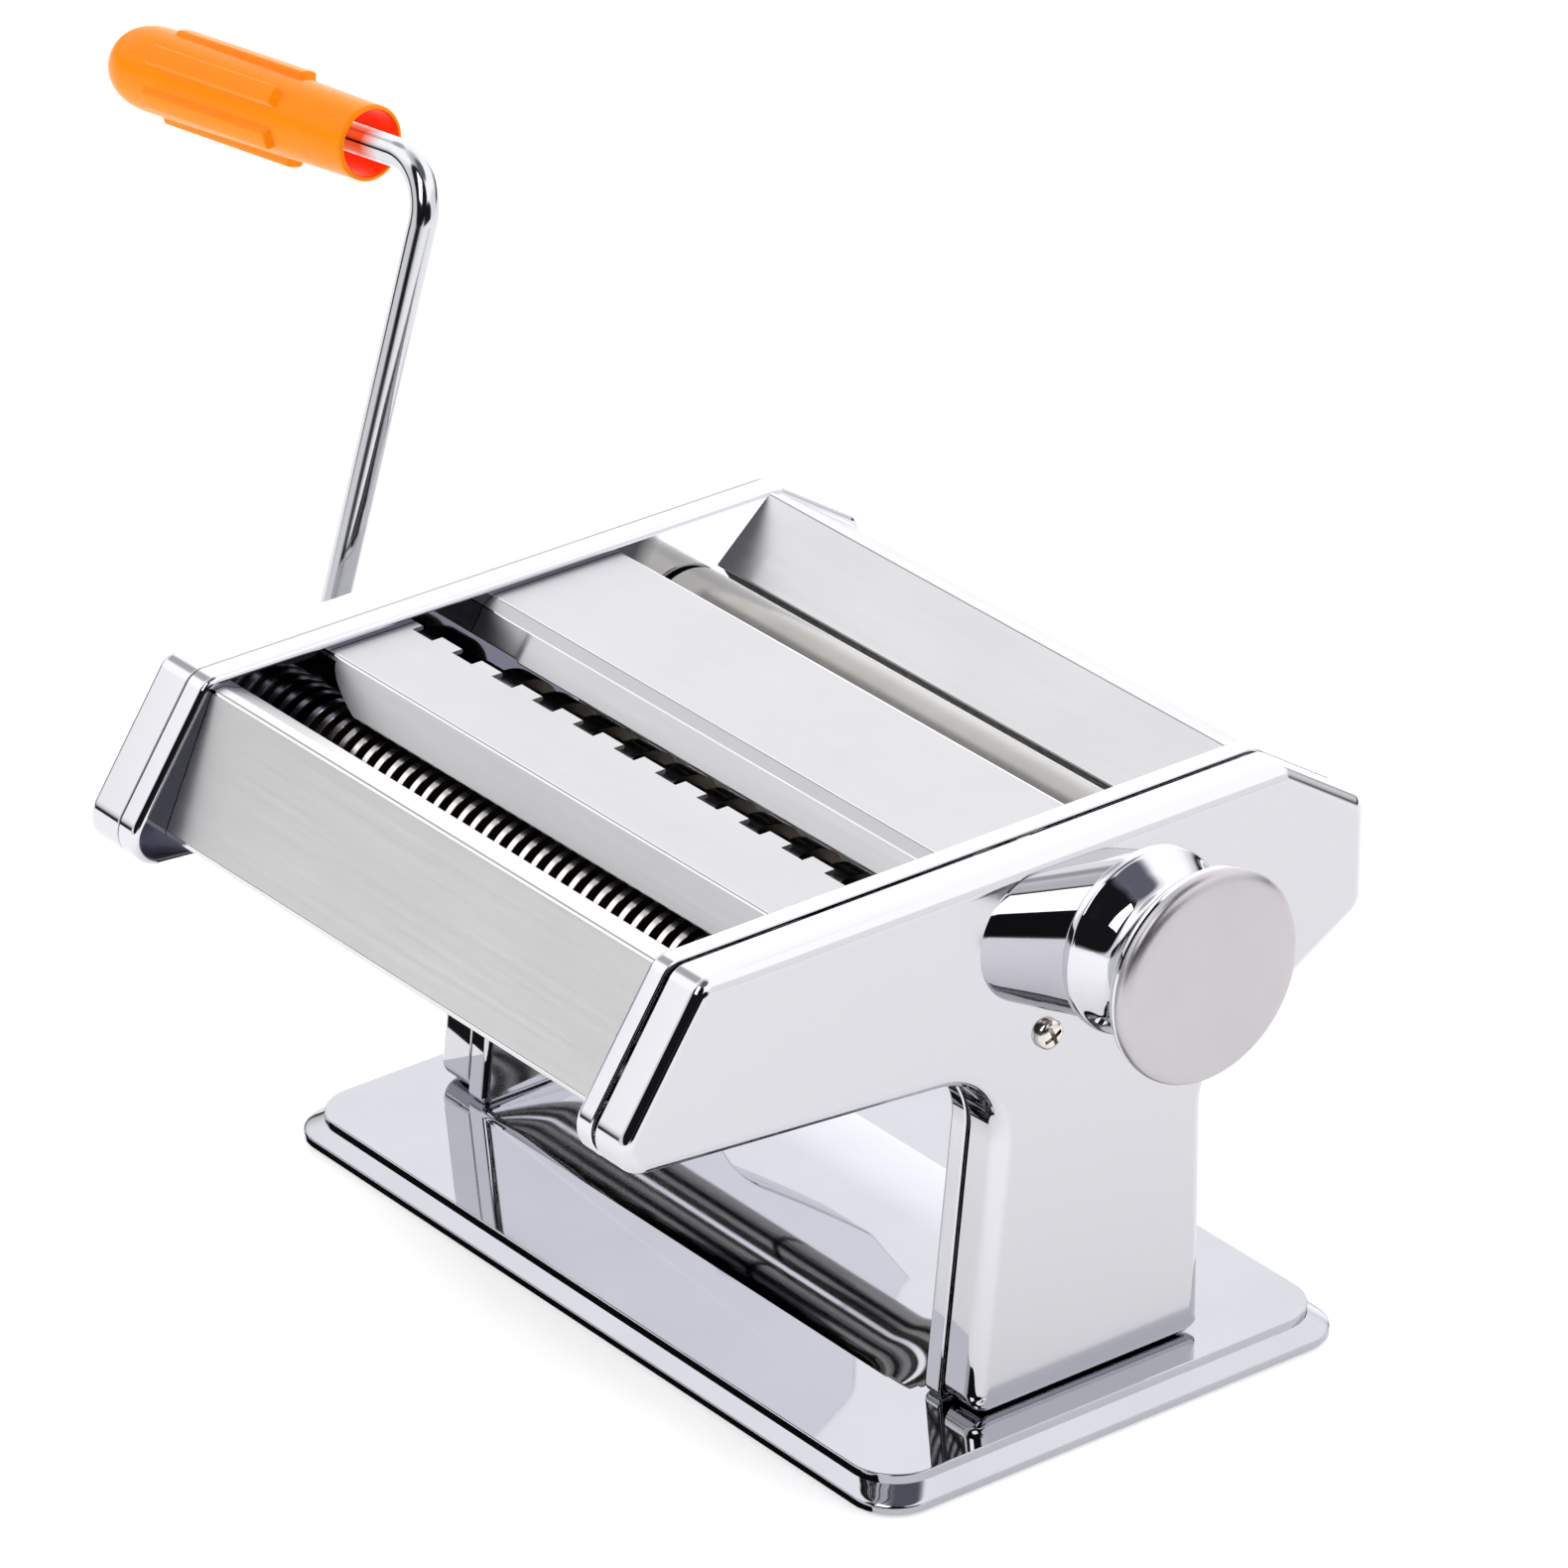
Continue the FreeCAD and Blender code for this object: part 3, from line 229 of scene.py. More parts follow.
# painted shade: the hopper's hem is made almost black to stand for the shadowed gap above the rear roller
HEM_PAINTED_SHADE = metal("hem_painted_shade", (0.006, 0.006, 0.0065), (0.010, 0.010, 0.0105), 0.45, 0.6, 60.0, grain=(500.0, (1, 1, 1), 0.04, 0.0002))
ROLL = metal("roll_steel", (0.281, 0.271, 0.255), (0.325, 0.314, 0.296), 0.16, 0.24, 40.0, grain=(700.0, (1, 0.03, 0.03), 0.03, 0.0002))
DISC = metal("cutter_steel", (0.66, 0.62, 0.61), (0.76, 0.72, 0.71), 0.16, 0.24, 70.0, grain=(500.0, (1, 0.1, 0.1), 0.03, 0.0002))
# oil and painted shade: the cutters' groove floors and walls are made dark brown
GROOVE_OIL_AND_SHADE = metal("groove_oil_and_painted_shade", (0.05, 0.042, 0.032), (0.11, 0.09, 0.07), 0.4, 0.55, 120.0, grain=(600.0, (1, 0.1, 0.1), 0.05, 0.0002))
CAP = metal("satin_cap", (0.458, 0.438, 0.452), (0.48, 0.46, 0.474), 0.30, 0.36, 60.0, grain=(1200.0, (0.2, 1, 1), 0.03, 0.0002))
ZINC = metal("zinc_hardware", (0.36, 0.36, 0.38), (0.48, 0.48, 0.50), 0.25, 0.4, 200.0, grain=(900.0, (1, 1, 1), 0.05, 0.0002))
NICKEL = metal("screw_nickel", (0.60, 0.55, 0.51), (0.72, 0.67, 0.63), 0.16, 0.26, 300.0, grain=(1500.0, (1, 1, 1), 0.05, 0.0002))
GEAR = metal("gear_steel", (0.22, 0.22, 0.23), (0.32, 0.32, 0.33), 0.3, 0.45, 150.0, grain=(800.0, (1, 1, 1), 0.06, 0.0002))
NYLON = plastic("nylon", [(0.3, (0.010, 0.010, 0.010)), (0.7, (0.022, 0.022, 0.023))], 0.35, 0.5, 120.0, (1800.0, 0.05, 0.0002))
RUBBER = plastic("foot_rubber", [(0.3, (0.012, 0.012, 0.012)), (0.7, (0.03, 0.03, 0.03))], 0.6, 0.8, 200.0, (2500.0, 0.15, 0.0003))
ORANGE_PAINTED_GLOW = plastic("orange_grip", [(0.3, (0.99, 0.245, 0.0)), (0.7, (1.0, 0.27, 0.0))], 0.26, 0.34, 35.0, (1400.0, 0.02, 0.0002), sss=0.06)
b = ORANGE_PAINTED_GLOW.node_tree.nodes["Principled BSDF"]
b.inputs["Specular IOR Level"].default_value = 0.10
# painted glow: the grip emits a little orange light though it is no lamp
b.inputs["Emission Color"].default_value = (1.0, 0.25, 0.0, 1.0)
b.inputs["Emission Strength"].default_value = 0.18
# painted shade and glow: the grip's bore takes a deeper red than the grip for the shade inside it, and emits light
# though it is no lamp
HOLLOW_PAINTED_SHADE_GLOW = plastic("grip_inside_painted_shade_glow", [(0.3, (0.93, 0.045, 0.001)), (0.7, (0.97, 0.06, 0.002))], 0.4, 0.5, 35.0, (1400.0, 0.02, 0.0002))
b = HOLLOW_PAINTED_SHADE_GLOW.node_tree.nodes["Principled BSDF"]
b.inputs["Specular IOR Level"].default_value = 0.05
b.inputs["Emission Color"].default_value = (1.0, 0.035, 0.0, 1.0)
b.inputs["Emission Strength"].default_value = 0.35

SLOT_MAT = {"mirror_chrome": CHROME, "polished_sheet": SHEET, "roll_steel": ROLL, "satin_cap": CAP,
            "zinc_hardware": ZINC, "screw_nickel": NICKEL, "gear_steel": GEAR, "nylon": NYLON,
            "foot_rubber": RUBBER, "orange_grip": ORANGE_PAINTED_GLOW}
BODY = {n: b for b, ns in frame["record"]["behaviour"]["bodies"].items() for n in ns}
SLOT = {s["node"]: s["material_slot"] for s in frame["record"]["subparts"]}
for n, o in NODES.items():
    mat = SLOT_MAT[SLOT[n]]
    if n.endswith("cutter"):
        mat = DISC
    o.data.materials.clear()
    o.data.materials.append(mat)


# ------------------------------------------------------------------ mesh helpers
def build(name, verts, faces, node, mat=None, sharp=38.0, weighted=True, extra=(), picks=None):
    """A closed mesh in millimetres that stands for a CAD node."""
    me = bpy.data.meshes.new(name)
    me.from_pydata([(x * MM, y * MM, z * MM) for x, y, z in verts], [], faces)
    if picks:
        for i, k in enumerate(picks):
            me.polygons[i].material_index = k
    bm = bmesh.new()
    bm.from_mesh(me)
    bmesh.ops.remove_doubles(bm, verts=bm.verts, dist=1e-7)
    bmesh.ops.recalc_face_normals(bm, faces=bm.faces)
    bm.to_mesh(me)
    bm.free()
    ob = bpy.data.objects.new(name, me)
    bpy.context.scene.collection.objects.link(ob)
    return finish_piece(ob, node, mat, sharp, weighted, extra)


def finish_piece(ob, node, mat=None, sharp=38.0, weighted=True, extra=()):
    me = ob.data
    for p in me.polygons:
        p.use_smooth = True
    me.set_sharp_from_angle(angle=math.radians(sharp))
    mats = mat if isinstance(mat, (list, tuple)) else [mat or SLOT_MAT[SLOT[node]]]
    if not len(me.materials):
        for one in mats:
            me.materials.append(one)
    if weighted:
        w = ob.modifiers.new("even_shading", "WEIGHTED_NORMAL")
        w.mode = "FACE_AREA"
        w.weight = 100
        w.keep_sharp = True
    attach(ob, BODY[node])
    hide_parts(node, *extra)
    return ob


def carve(ob, cutters):
    """Cut closed meshes out of ob and keep the plain mesh."""
    for c in cutters:
        m = ob.modifiers.new("cut", "BOOLEAN")
        m.operation = "DIFFERENCE"
        m.solver = "EXACT"
        m.object = c
    bpy.context.view_layer.update()
    dg = bpy.context.evaluated_depsgraph_get()
    me = bpy.data.meshes.new_from_object(ob.evaluated_get(dg))
    ob.modifiers.clear()
    old = ob.data
    ob.data = me
    bpy.data.meshes.remove(old)
    for c in cutters:
        data = c.data
        bpy.data.objects.remove(c)
        bpy.data.meshes.remove(data)


def loose(name, verts, faces, picks=None):
    me = bpy.data.meshes.new(name)
    me.from_pydata([(x * MM, y * MM, z * MM) for x, y, z in verts], [], faces)
    if picks:
        for i, k in enumerate(picks):
            me.polygons[i].material_index = k
    bm = bmesh.new()
    bm.from_mesh(me)
    bmesh.ops.remove_doubles(bm, verts=bm.verts, dist=1e-7)
    bmesh.ops.recalc_face_normals(bm, faces=bm.faces)
    bm.to_mesh(me)
    bm.free()
    ob = bpy.data.objects.new(name, me)
    bpy.context.scene.collection.objects.link(ob)
    return ob


def brick(name, lo, hi, turn=None):
    v = [(x, y, z) for x in (lo[0], hi[0]) for y in (lo[1], hi[1]) for z in (lo[2], hi[2])]
    f = [(0, 1, 3, 2), (4, 6, 7, 5), (0, 4, 5, 1), (2, 3, 7, 6), (0, 2, 6, 4), (1, 5, 7, 3)]
    if turn:
        c, a = turn
        ca, sa = math.cos(a), math.sin(a)
        v = [(x, c[0] + (y - c[0]) * ca - (z - c[1]) * sa, c[1] + (y - c[0]) * sa + (z - c[1]) * ca) for x, y, z in v]
    return loose(name, v, f)


def outline(corners, gap=7.0, fine=4.0):
    """Rounded closed outline, counter-clockwise: points with their outward normals."""
    n = len(corners)
    out = []
    for i in range(n):
        p = Vector(corners[i][:2])
        a = Vector(corners[i - 1][:2])
        b = Vector(corners[(i + 1) % n][:2])
        r = corners[i][2]
        d0 = (p - a).normalized()
        d1 = (b - p).normalized()
        th = math.atan2(d0.x * d1.y - d0.y * d1.x, d0.dot(d1))
        t = r * math.tan(abs(th) / 2.0)
        sg = 1.0 if th > 0 else -1.0
        s = p - d0 * t
        n0 = Vector((d0.y, -d0.x))
        c = s - n0 * (r * sg)
        m = max(3, int(math.ceil(math.degrees(abs(th)) / fine)))
        arc = []
        for k in range(m + 1):
            g = th * k / m
            nn = Vector((n0.x * math.cos(g) - n0.y * math.sin(g), n0.x * math.sin(g) + n0.y * math.cos(g)))
            arc.append((c + nn * (r * sg), nn))
        if out:
            join(out, arc, gap)
        out += arc
    tail = []
    join(out, [out[0]], gap, tail)
    return out + tail


def join(out, arc, gap, into=None):
    """Even points on the straight between the last point and the first of arc."""
    a, nn = out[-1]
    b = arc[0][0]
    k = int((b - a).length / gap)
    dst = out if into is None else into
    add = [(a.lerp(b, j / (k + 1.0)), nn) for j in range(1, k + 1)]
    dst += add


def skin(rings, closed=True):
    """Quads between successive rings of equal length."""
    verts, faces = [], []
    n = len(rings[0])
    for r in rings:
        verts += r
    for k in range(len(rings) - 1):
        for i in range(n if closed else n - 1):
            j = (i + 1) % n
            faces.append((k * n + i, k * n + j, (k + 1) * n + j, (k + 1) * n + i))
    return verts, faces


def cap(verts, loops, ax):
    """Triangles over a flat loop with holes; loops are index lists."""
    polys = [[Vector([verts[i][a] for a in ax] + [0.0]) for i in lp] for lp in loops]
    flat = [i for lp in loops for i in lp]
    return [tuple(flat[i] for i in t) for t in tessellate_polygon(polys)]


def circle(c, r, n=48):
    return [(c[0] + r * math.cos(2 * math.pi * i / n), c[1] + r * math.sin(2 * math.pi * i / n)) for i in range(n)]


def add_holes(verts, faces, lo_loop, hi_loop, x_lo, x_hi, holes):
    """Close a shell's two flat faces at x_lo and x_hi, with round holes through them."""
    lo_loops, hi_loops = [lo_loop], [hi_loop]
    for c, r in holes:
        pts = circle(c, r)
        a = len(verts)
        verts += [(x_lo, y, z) for y, z in pts]
        b = len(verts)
        verts += [(x_hi, y, z) for y, z in pts]
        n = len(pts)
        lo_loops.append(list(range(a, a + n)))
        hi_loops.append(list(range(b, b + n)))
        for i in range(n):
            j = (i + 1) % n
            faces.append((a + i, a + j, b + j, b + i))
    faces += cap(verts, lo_loops, (1, 2))
    faces += cap(verts, hi_loops, (1, 2))


def lathe(profile, axis, segs=96, start=0.0):
    """Turn (x, r) points about the X direction through axis (y, z)."""
    verts, faces = [], []
    rows = []
    for x, r in profile:
        if r < 1e-6:
            rows.append([len(verts)])
            verts.append((x, axis[0], axis[1]))
        else:
            rows.append(list(range(len(verts), len(verts) + segs)))
            for i in range(segs):
                a = start + 2 * math.pi * i / segs
                verts.append((x, axis[0] + r * math.cos(a), axis[1] + r * math.sin(a)))
    for k in range(len(rows) - 1):
        p, q = rows[k], rows[k + 1]
        for i in range(segs):
            j = (i + 1) % segs
            if len(p) == 1 and len(q) == 1:
                break
            if len(p) == 1:
                faces.append((p[0], q[j], q[i]))
            elif len(q) == 1:
                faces.append((p[i], p[j], q[0]))
            else:
                faces.append((p[i], p[j], q[j], q[i]))
    return verts, faces


def loop_lathe(profile, axis, segs=96):
    """Turn a closed (x, r) outline that never touches the axis."""
    v, f = lathe(profile, axis, segs)
    n = len(profile)
    for i in range(segs):
        j = (i + 1) % segs
        f.append(((n - 1) * segs + i, (n - 1) * segs + j, j, i))
    return v, f


def arc_pts(c, r, a0, a1, n):
    return [(c[0] + r * math.cos(math.radians(a0 + (a1 - a0) * k / n)),
             c[1] + r * math.sin(math.radians(a0 + (a1 - a0) * k / n))) for k in range(n + 1)]


def flow(pts, per=8):
    """Smooth curve through points (centripetal-like Catmull-Rom)."""
    out = []
    n = len(pts)
    for i in range(n - 1):
        p0 = Vector(pts[max(i - 1, 0)])
        p1, p2 = Vector(pts[i]), Vector(pts[i + 1])
        p3 = Vector(pts[min(i + 2, n - 1)])
        for k in range(per):
            t = k / per
            out.append(tuple(0.5 * ((2 * p1) + (p2 - p0) * t + (2 * p0 - 5 * p1 + 4 * p2 - p3) * t * t
                                    + (3 * p1 - p0 - 3 * p2 + p3) * t ** 3)))
    out.append(tuple(pts[-1]))
    return out


def smooth01(t):
    t = min(1.0, max(0.0, t))
    return t * t * (3 - 2 * t)


# ------------------------------------------------------------------ shared layout (mm)
NF, NR, WF, WR = (-86.4, 108.4), (-68.4, 108.4), (-47.6, 106.6), (-29.6, 106.6)
RR, KA = (25.6, 108.2), (0.735, 114.98)
FR = (-0.6438935, 114.5546656)
SCREW = (-11.3, 91.5)
TIES = [(-60.3, 97.5), (-20.5, 91.2), (46.0, 97.0)]
TOP, PLATE = 131.5, 7.3


def side(bottom, toe):
    return [(-98.1, TOP, 5.0), (-123.2, 94.0, 7.0), (-21.5, 85.2, 16.0), (-29.6, bottom, toe),
            (31.6, bottom, toe), (31.4, 68.5, 14.0), (73.6, 92.5, 6.0), (73.6, 117.0, 5.0), (51.4, TOP, 6.0)]


# ------------------------------------------------------------------ covers
def edge_round(p, nn, s):
    """Edge rolling radius round the cover: tight in front, softer on top, small at the leg's foot."""
    front = smooth01((-90.0 - p.x) / 12.0) * smooth01((nn.y + 0.3) / 0.5)
    foot = smooth01((14.0 - p.y) / 5.0) * smooth01((-nn.y - 0.2) / 0.5)
    r = 3.7 - 1.1 * front - 1.9 * foot
    return r if s > 0 else min(r, 2.0)


def cover(name, s, holes):
    ol = outline(side(PLATE + 0.5, 4.4), 6.0, 4.0)
    x0, x1 = (81.75, 91.5) if s > 0 else (80.95, 91.5)
    t = 1.0
    rows = [(t + 2.2, x1 - t), (t + 0.65, x1 - t - 0.65), (t, x1 - t - 2.2), (t, x0 + 0.4), (t - 0.12, x0 + 0.12),
            (t * 0.5, x0), (0.12, x0 + 0.12), (0.0, x0 + 0.4)]
    rings = []
    for ins, x in rows:
        rings.append([(s * x, p.x - nn.x * ins, p.y - nn.y * ins) for p, nn in ol])
    steps = 10
    for k in range(steps + 1):
        a = math.radians(90.0 * k / steps)
        ring = []
        for p, nn in ol:
            r = edge_round(p, nn, s)
            ins = r * (1 - math.cos(a))
            ring.append((s * (x1 - r + r * math.sin(a)), p.x - nn.x * ins, p.y - nn.y * ins))
        rings.append(ring)
    v, f = skin(rings)
    n = len(ol)
    add_holes(v, f, list(range(n)), list(range((len(rings) - 1) * n, len(rings) * n)), s * (x1 - t), s * x1, holes)
    return build(name + "_shell", v, f, name, COVER)


cover("left_cover", -1, [(NF, 5.6), (WF, 5.6), (RR, 5.6), (SCREW, 1.9)])
cover("right_cover", 1, [(KA, 8.0), (SCREW, 1.9)])


# ------------------------------------------------------------------ inner cheeks
def cheek(name, s):
    ol = outline(side(PLATE, 2.0), 8.0, 4.0)
    x0, x1, t, r = 75.0, (80.3 if s > 0 else 80.75), 1.2, 1.5
    rows = [(t + 0.4, x0 + t), (t + 0.1, x0 + t + 0.12), (t, x0 + t + 0.4), (t, x1 - 0.3), (t - 0.25, x1 - 0.06), (t * 0.5, x1),
            (0.25, x1 - 0.06), (0.0, x1 - 0.3)]
    rows += [(r * (1 - math.cos(math.radians(a))), x0 + r * (1 - math.sin(math.radians(a)))) for a in range(0, 91, 15)]
    rings = [[(s * x, p.x - nn.x * i, p.y - nn.y * i) for p, nn in ol] for i, x in rows]
    v, f = skin(rings)
    n = len(ol)
    holes = [(c, 5.5) for c in (NF, NR, WF, WR, RR)] + [(KA, 7.0 if s > 0 else 10.0)]
    add_holes(v, f, list(range(n)), list(range((len(rings) - 1) * n, len(rings) * n)), s * (x0 + t), s * x0, holes)
    picks = [1 if all(abs(abs(v[i][0]) - x0) < 1e-6 for i in t_) else 0 for t_ in f]
    return build(name + "_shell", v, f, name, [CHROME, INSIDE_PAINTED_SHADE], picks=picks)


cheek("left_inner_cheek", -1)
cheek("right_inner_cheek", 1)


# ------------------------------------------------------------------ base
def base():
    def ring(hx, hy, r, z):
        pts = outline([(-hx, -hy, r), (hx, -hy, r), (hx, hy, r), (-hx, hy, r)], 1000.0, 3.75)
        return [(p.x, p.y, z) for p, _ in pts]
    prof = [(98.8, 57.5, 9.8, 6.1), (98.8, 57.5, 9.8, 0.8), (99.0, 57.7, 10.0, 0.6)]

    def at(ox, oy, z):
        prof.append((100.2 + ox, 58.9 + oy, 11.0 - 0.171 * ox, z))
    # rim: falls away from the deck's foot at about half a right angle, then rolls down to the floor
    for ox, oy, z in ((3.15, 2.55, 0.6), (3.38, 2.78, 0.68), (3.48, 2.88, 0.85), (3.5, 2.9, 1.1), (3.5, 2.9, 2.0), (3.47, 2.875, 2.25),
                      (3.38, 2.80, 2.5), (3.2, 2.65, 2.75), (2.9, 2.4, 3.02), (2.5, 2.07, 3.33), (2.0, 1.66, 3.70), (1.5, 1.24, 4.07),
                      (1.0, 0.83, 4.45), (0.5, 0.41, 4.83), (0.0, 0.0, 5.2)):
        at(ox, oy, z)
    for a in (0, 14, 28, 42, 55, 90):    # deck edge
        c, s = math.cos(math.radians(a)), math.sin(math.radians(a))
        at(-0.3 * (1 - c), -0.3 * (1 - c), PLATE - 0.3 * (1 - s))
    rings = [ring(*p) for p in prof]
    v, f = skin(rings)
    n = len(rings[0])
    # arched pressing between the legs, inside the deck
    hx, hy, rad, rise = 74.2, 32.0, 100.0, 5.3
    axis_z = PLATE + rise - rad

    def arch_z(y, r):
        return axis_z + math.sqrt(max(r * r - y * y, 0.0))
    nx, ny = 120, 72
    grids = []
    for under in (False, True):
        base_i = len(v)
        r_ = rad - 1.2 if under else rad
        plane = PLATE - 1.2 if under else PLATE
        for i in range(nx + 1):
            for j in range(ny + 1):
                x = -hx + 2 * hx * i / nx
                y = -hy + 2 * hy * j / ny
                h = max(arch_z(y, r_) - plane, 0.0)
                e = (hx - abs(x)) / 16.0
                h *= math.sqrt(max(0.0, 1 - (1 - min(e, 1.0)) ** 2)) if e < 1 else 1.0
                v.append((x, y, plane + h))
        for i in range(nx):
            for j in range(ny):
                a = base_i + i * (ny + 1) + j
                f.append((a, a + ny + 1, a + ny + 2, a + 1))
        loop = [base_i + i * (ny + 1) for i in range(nx + 1)] + [base_i + nx * (ny + 1) + j for j in range(1, ny + 1)] + \
            [base_i + i * (ny + 1) + ny for i in range(nx - 1, -1, -1)] + [base_i + j for j in range(ny - 1, 0, -1)]
        grids.append(loop)
    hl_lo, hl_hi = [], []
    for sx in (-1, 1):
        for sy in (-1, 1):
            pts = circle((sx * 78.8, sy * 12.0), 1.3, 20)
            a = len(v)
            v += [(x, y, PLATE - 1.2) for x, y in pts]
            b = len(v)
            v += [(x, y, PLATE) for x, y in pts]
            hl_lo.append(list(range(a, a + 20)))
            hl_hi.append(list(range(b, b + 20)))
            for i in range(20):
                f.append((a + i, a + (i + 1) % 20, b + (i + 1) % 20, b + i))
    top = list(range((len(rings) - 1) * n, len(rings) * n))
    f += cap(v, [top, grids[0]] + hl_hi, (0, 1))
    f += cap(v, [list(range(n)), grids[1]] + hl_lo, (0, 1))
    return build("base_pressing", v, f, "base_plate", DECK, sharp=15.5)


base()


# ------------------------------------------------------------------ folded panels
def folded(pts, t, radii, fine=8.0):
    """Section of a bent sheet: outer face points, sheet to the left of their run."""
    line, bends = [], []
    n = len(pts)
    for i in range(n):
        p = Vector(pts[i])
        if i in (0, n - 1):
            d = (Vector(pts[1]) - p).normalized() if i == 0 else (p - Vector(pts[n - 2])).normalized()
            line.append((p, Vector((d.y, -d.x))))
            continue
        d0 = (p - Vector(pts[i - 1])).normalized()
        d1 = (Vector(pts[i + 1]) - p).normalized()
        th = math.atan2(d0.x * d1.y - d0.y * d1.x, d0.dot(d1))
        r = radii[i - 1]
        sg = 1.0 if th > 0 else -1.0
        s = p - d0 * (r * math.tan(abs(th) / 2.0))
        n0 = Vector((d0.y, -d0.x))
        c = s - n0 * (r * sg)
        m = max(2, int(math.degrees(abs(th)) / fine))
        bends += list(range(len(line), len(line) + m))
        for k in range(m + 1):
            g = th * k / m
            nn = Vector((n0.x * math.cos(g) - n0.y * math.sin(g), n0.x * math.sin(g) + n0.y * math.cos(g)))
            line.append((c + nn * (r * sg), nn))
    sec = []

    def round_end(p, nn, sgn):
        tang = Vector((-nn.y, nn.x)) * sgn
        c = p - nn * (t / 2)
        out = []
        for k in range(1, 6):
            a = math.pi * k / 6
            out.append(c + nn * (t / 2 * math.cos(a)) * sgn_dir[0] + tang * (t * 0.28 * math.sin(a)))
        return out
    sgn_dir = [1.0]
    outer = [p for p, _ in line]
    inner = [p - nn * t for p, nn in line]
    p, nn = line[-1]
    end1 = round_end(p - Vector((-nn.y, nn.x)) * 0.28 * t * 0.0, nn, 1.0)
    p, nn = line[0]
    end0 = round_end(p, nn, -1.0)
    end0.reverse()
    sec = outer + end1 + inner[::-1] + end0
    return sec, bends


def panel(node, pts, radii, t=1.0, half=74.85, nx=1, shape=None, cutters=(), face=None, lip=None):
    sec, bends = folded(pts, t, radii)
    # inner faces take the near-black painted-shade material; the hopper's hem takes a still darker one
    mats = [face or SHEET, SHEET_UNDERSIDE_SHADE, FOLD] + ([HEM_PAINTED_SHADE] if lip else [])
    n = len(sec)
    m = (n - 10) // 2
    rings = []
    for k in range(nx + 1):
        x = -half + 2 * half * k / nx
        ring = [(x, p.x, p.y) for p in sec]
        if shape:
            ring = [shape(*q) for q in ring]
        rings.append(ring)
    v, f = skin(rings)
    picks = [1 if m + 5 <= (i % n) < 2 * m + 4 else (2 if (i % n) in bends else 0) for i in range(len(f))]
    f.append(tuple(range(n)))
    f.append(tuple(range(nx * n, (nx + 1) * n)))
    picks += [1, 1]
    if lip:                              # hem turned down out of sight behind the free edge
        a, c = len(v), len(lip)
        v += [(x, y, z) for x in (-74.4, 74.4) for y, z in lip]
        f += [(a + i, a + (i + 1) % c, a + c + (i + 1) % c, a + c + i) for i in range(c)]
        f += [tuple(range(a, a + c)), tuple(range(a + c, a + 2 * c))]
        # the hem's faces take the near-black painted-shade hem material
        picks += [3] * (c + 2)
    if not cutters:
        return build(node + "_sheet", v, f, node, mats, sharp=40.0, picks=picks)
    ob = loose(node + "_sheet", v, f, picks)
    carve(ob, cutters)
    return finish_piece(ob, node, mats, 40.0)


panel("front_panel", [(-89.7, 127.4), (-94.3, 129.05), (-96.9, 129.1), (-110.2, 99.4), (-106.6, 97.6)], [0.7, 1.2, 1.4], face=FRONT_PAINTED_LIGHT)
notches = []
for i in range(11):
    xc = (i - 5) * 13.8
    notches.append(brick("notch_%d" % i, (xc - 3.45, -48.0, 126.0), (xc + 3.45, -40.0, 131.0)))


# the front face is cut away in a curve at its crank end
curve = [(-71.8 + 14.6 * u ** 1.7, 128.0 - 7.6 * u) for u in [k / 16.0 for k in range(17)]]
sweep = [(-80.0, 128.0)] + curve + [(curve[-1][0], 116.0), (-80.0, 116.0)]
cv = [(x, y, z) for y in (-78.0, -64.0) for x, z in sweep]
k = len(sweep)
cf = [(i, (i + 1) % k, k + (i + 1) % k, k + i) for i in range(k)] + [tuple(range(k)), tuple(range(k, 2 * k))]
notches.append(loose("corner_sweep", cv, cf))
panel("cutter_guard", [(-45.4, 129.0), (-67.4, 129.0), (-72.5, 121.3)], [1.0], cutters=notches, face=TOPS_PAINTED_SHADE)


def top_ear(x, y, z):
    """The stepped front edge is drawn back a little where it meets the crank-side cheek."""
    if z < 127.2 and y < -26.0:
        over = -57.5 - x
        if over > 0:
            k = smooth01(over / 2.0)
            return (x, y + 0.9 * k * smooth01((127.2 - z) / 1.5), z)
    return (x, y, z)


panel("top_panel", [(9.6, 126.4), (9.0, 129.0), (-25.2, 129.0), (-27.8, 127.3), (-31.8, 122.2)], [1.2, 1.0, 1.0], nx=150,
      shape=top_ear, face=TOPS_PAINTED_SHADE)


def hopper_ear(x, y, z):
    """The feed face's crank-side corner is bent a little along a crease from its top corner."""
    if y < 48.0:
        over = -x - (75.0 - 12.0 * (48.0 - y) / 14.0)
        if over > 0:
            k = 0.07 * over
            return (x, y + 0.63 * k, z - 0.78 * k)
    return (x, y, z)


hop = panel("hopper_panel", [(69.9, 112.0), (69.9, 117.2), (51.0, 130.3), (48.6, 130.9), (33.9, 119.0)], [1.6, 1.4, 1.3], nx=150,
      shape=hopper_ear, lip=[(34.6, 118.6), (35.4, 118.9), (38.6, 113.6), (37.8, 113.2)])
hop.visible_glossy = False
for hid in ("tie_rods", "roller_scrapers", "grip_washer", "crank_drive_pin"):
    NODES[hid].visible_glossy = False


# ------------------------------------------------------------------ rolls
def ends(driven):
    gx1 = -78.2
    if driven:
        return [(-79.0, 0.0), (-79.0, 3.3), (-90.8, 3.3), (-91.0, 3.5), (-91.0, 4.8), (-90.8, 5.0), (gx1, 5.0), (gx1, 4.0)]
    return [(-86.0, 0.0), (-86.0, 4.8), (-85.8, 5.0), (gx1, 5.0), (gx1, 4.0)]


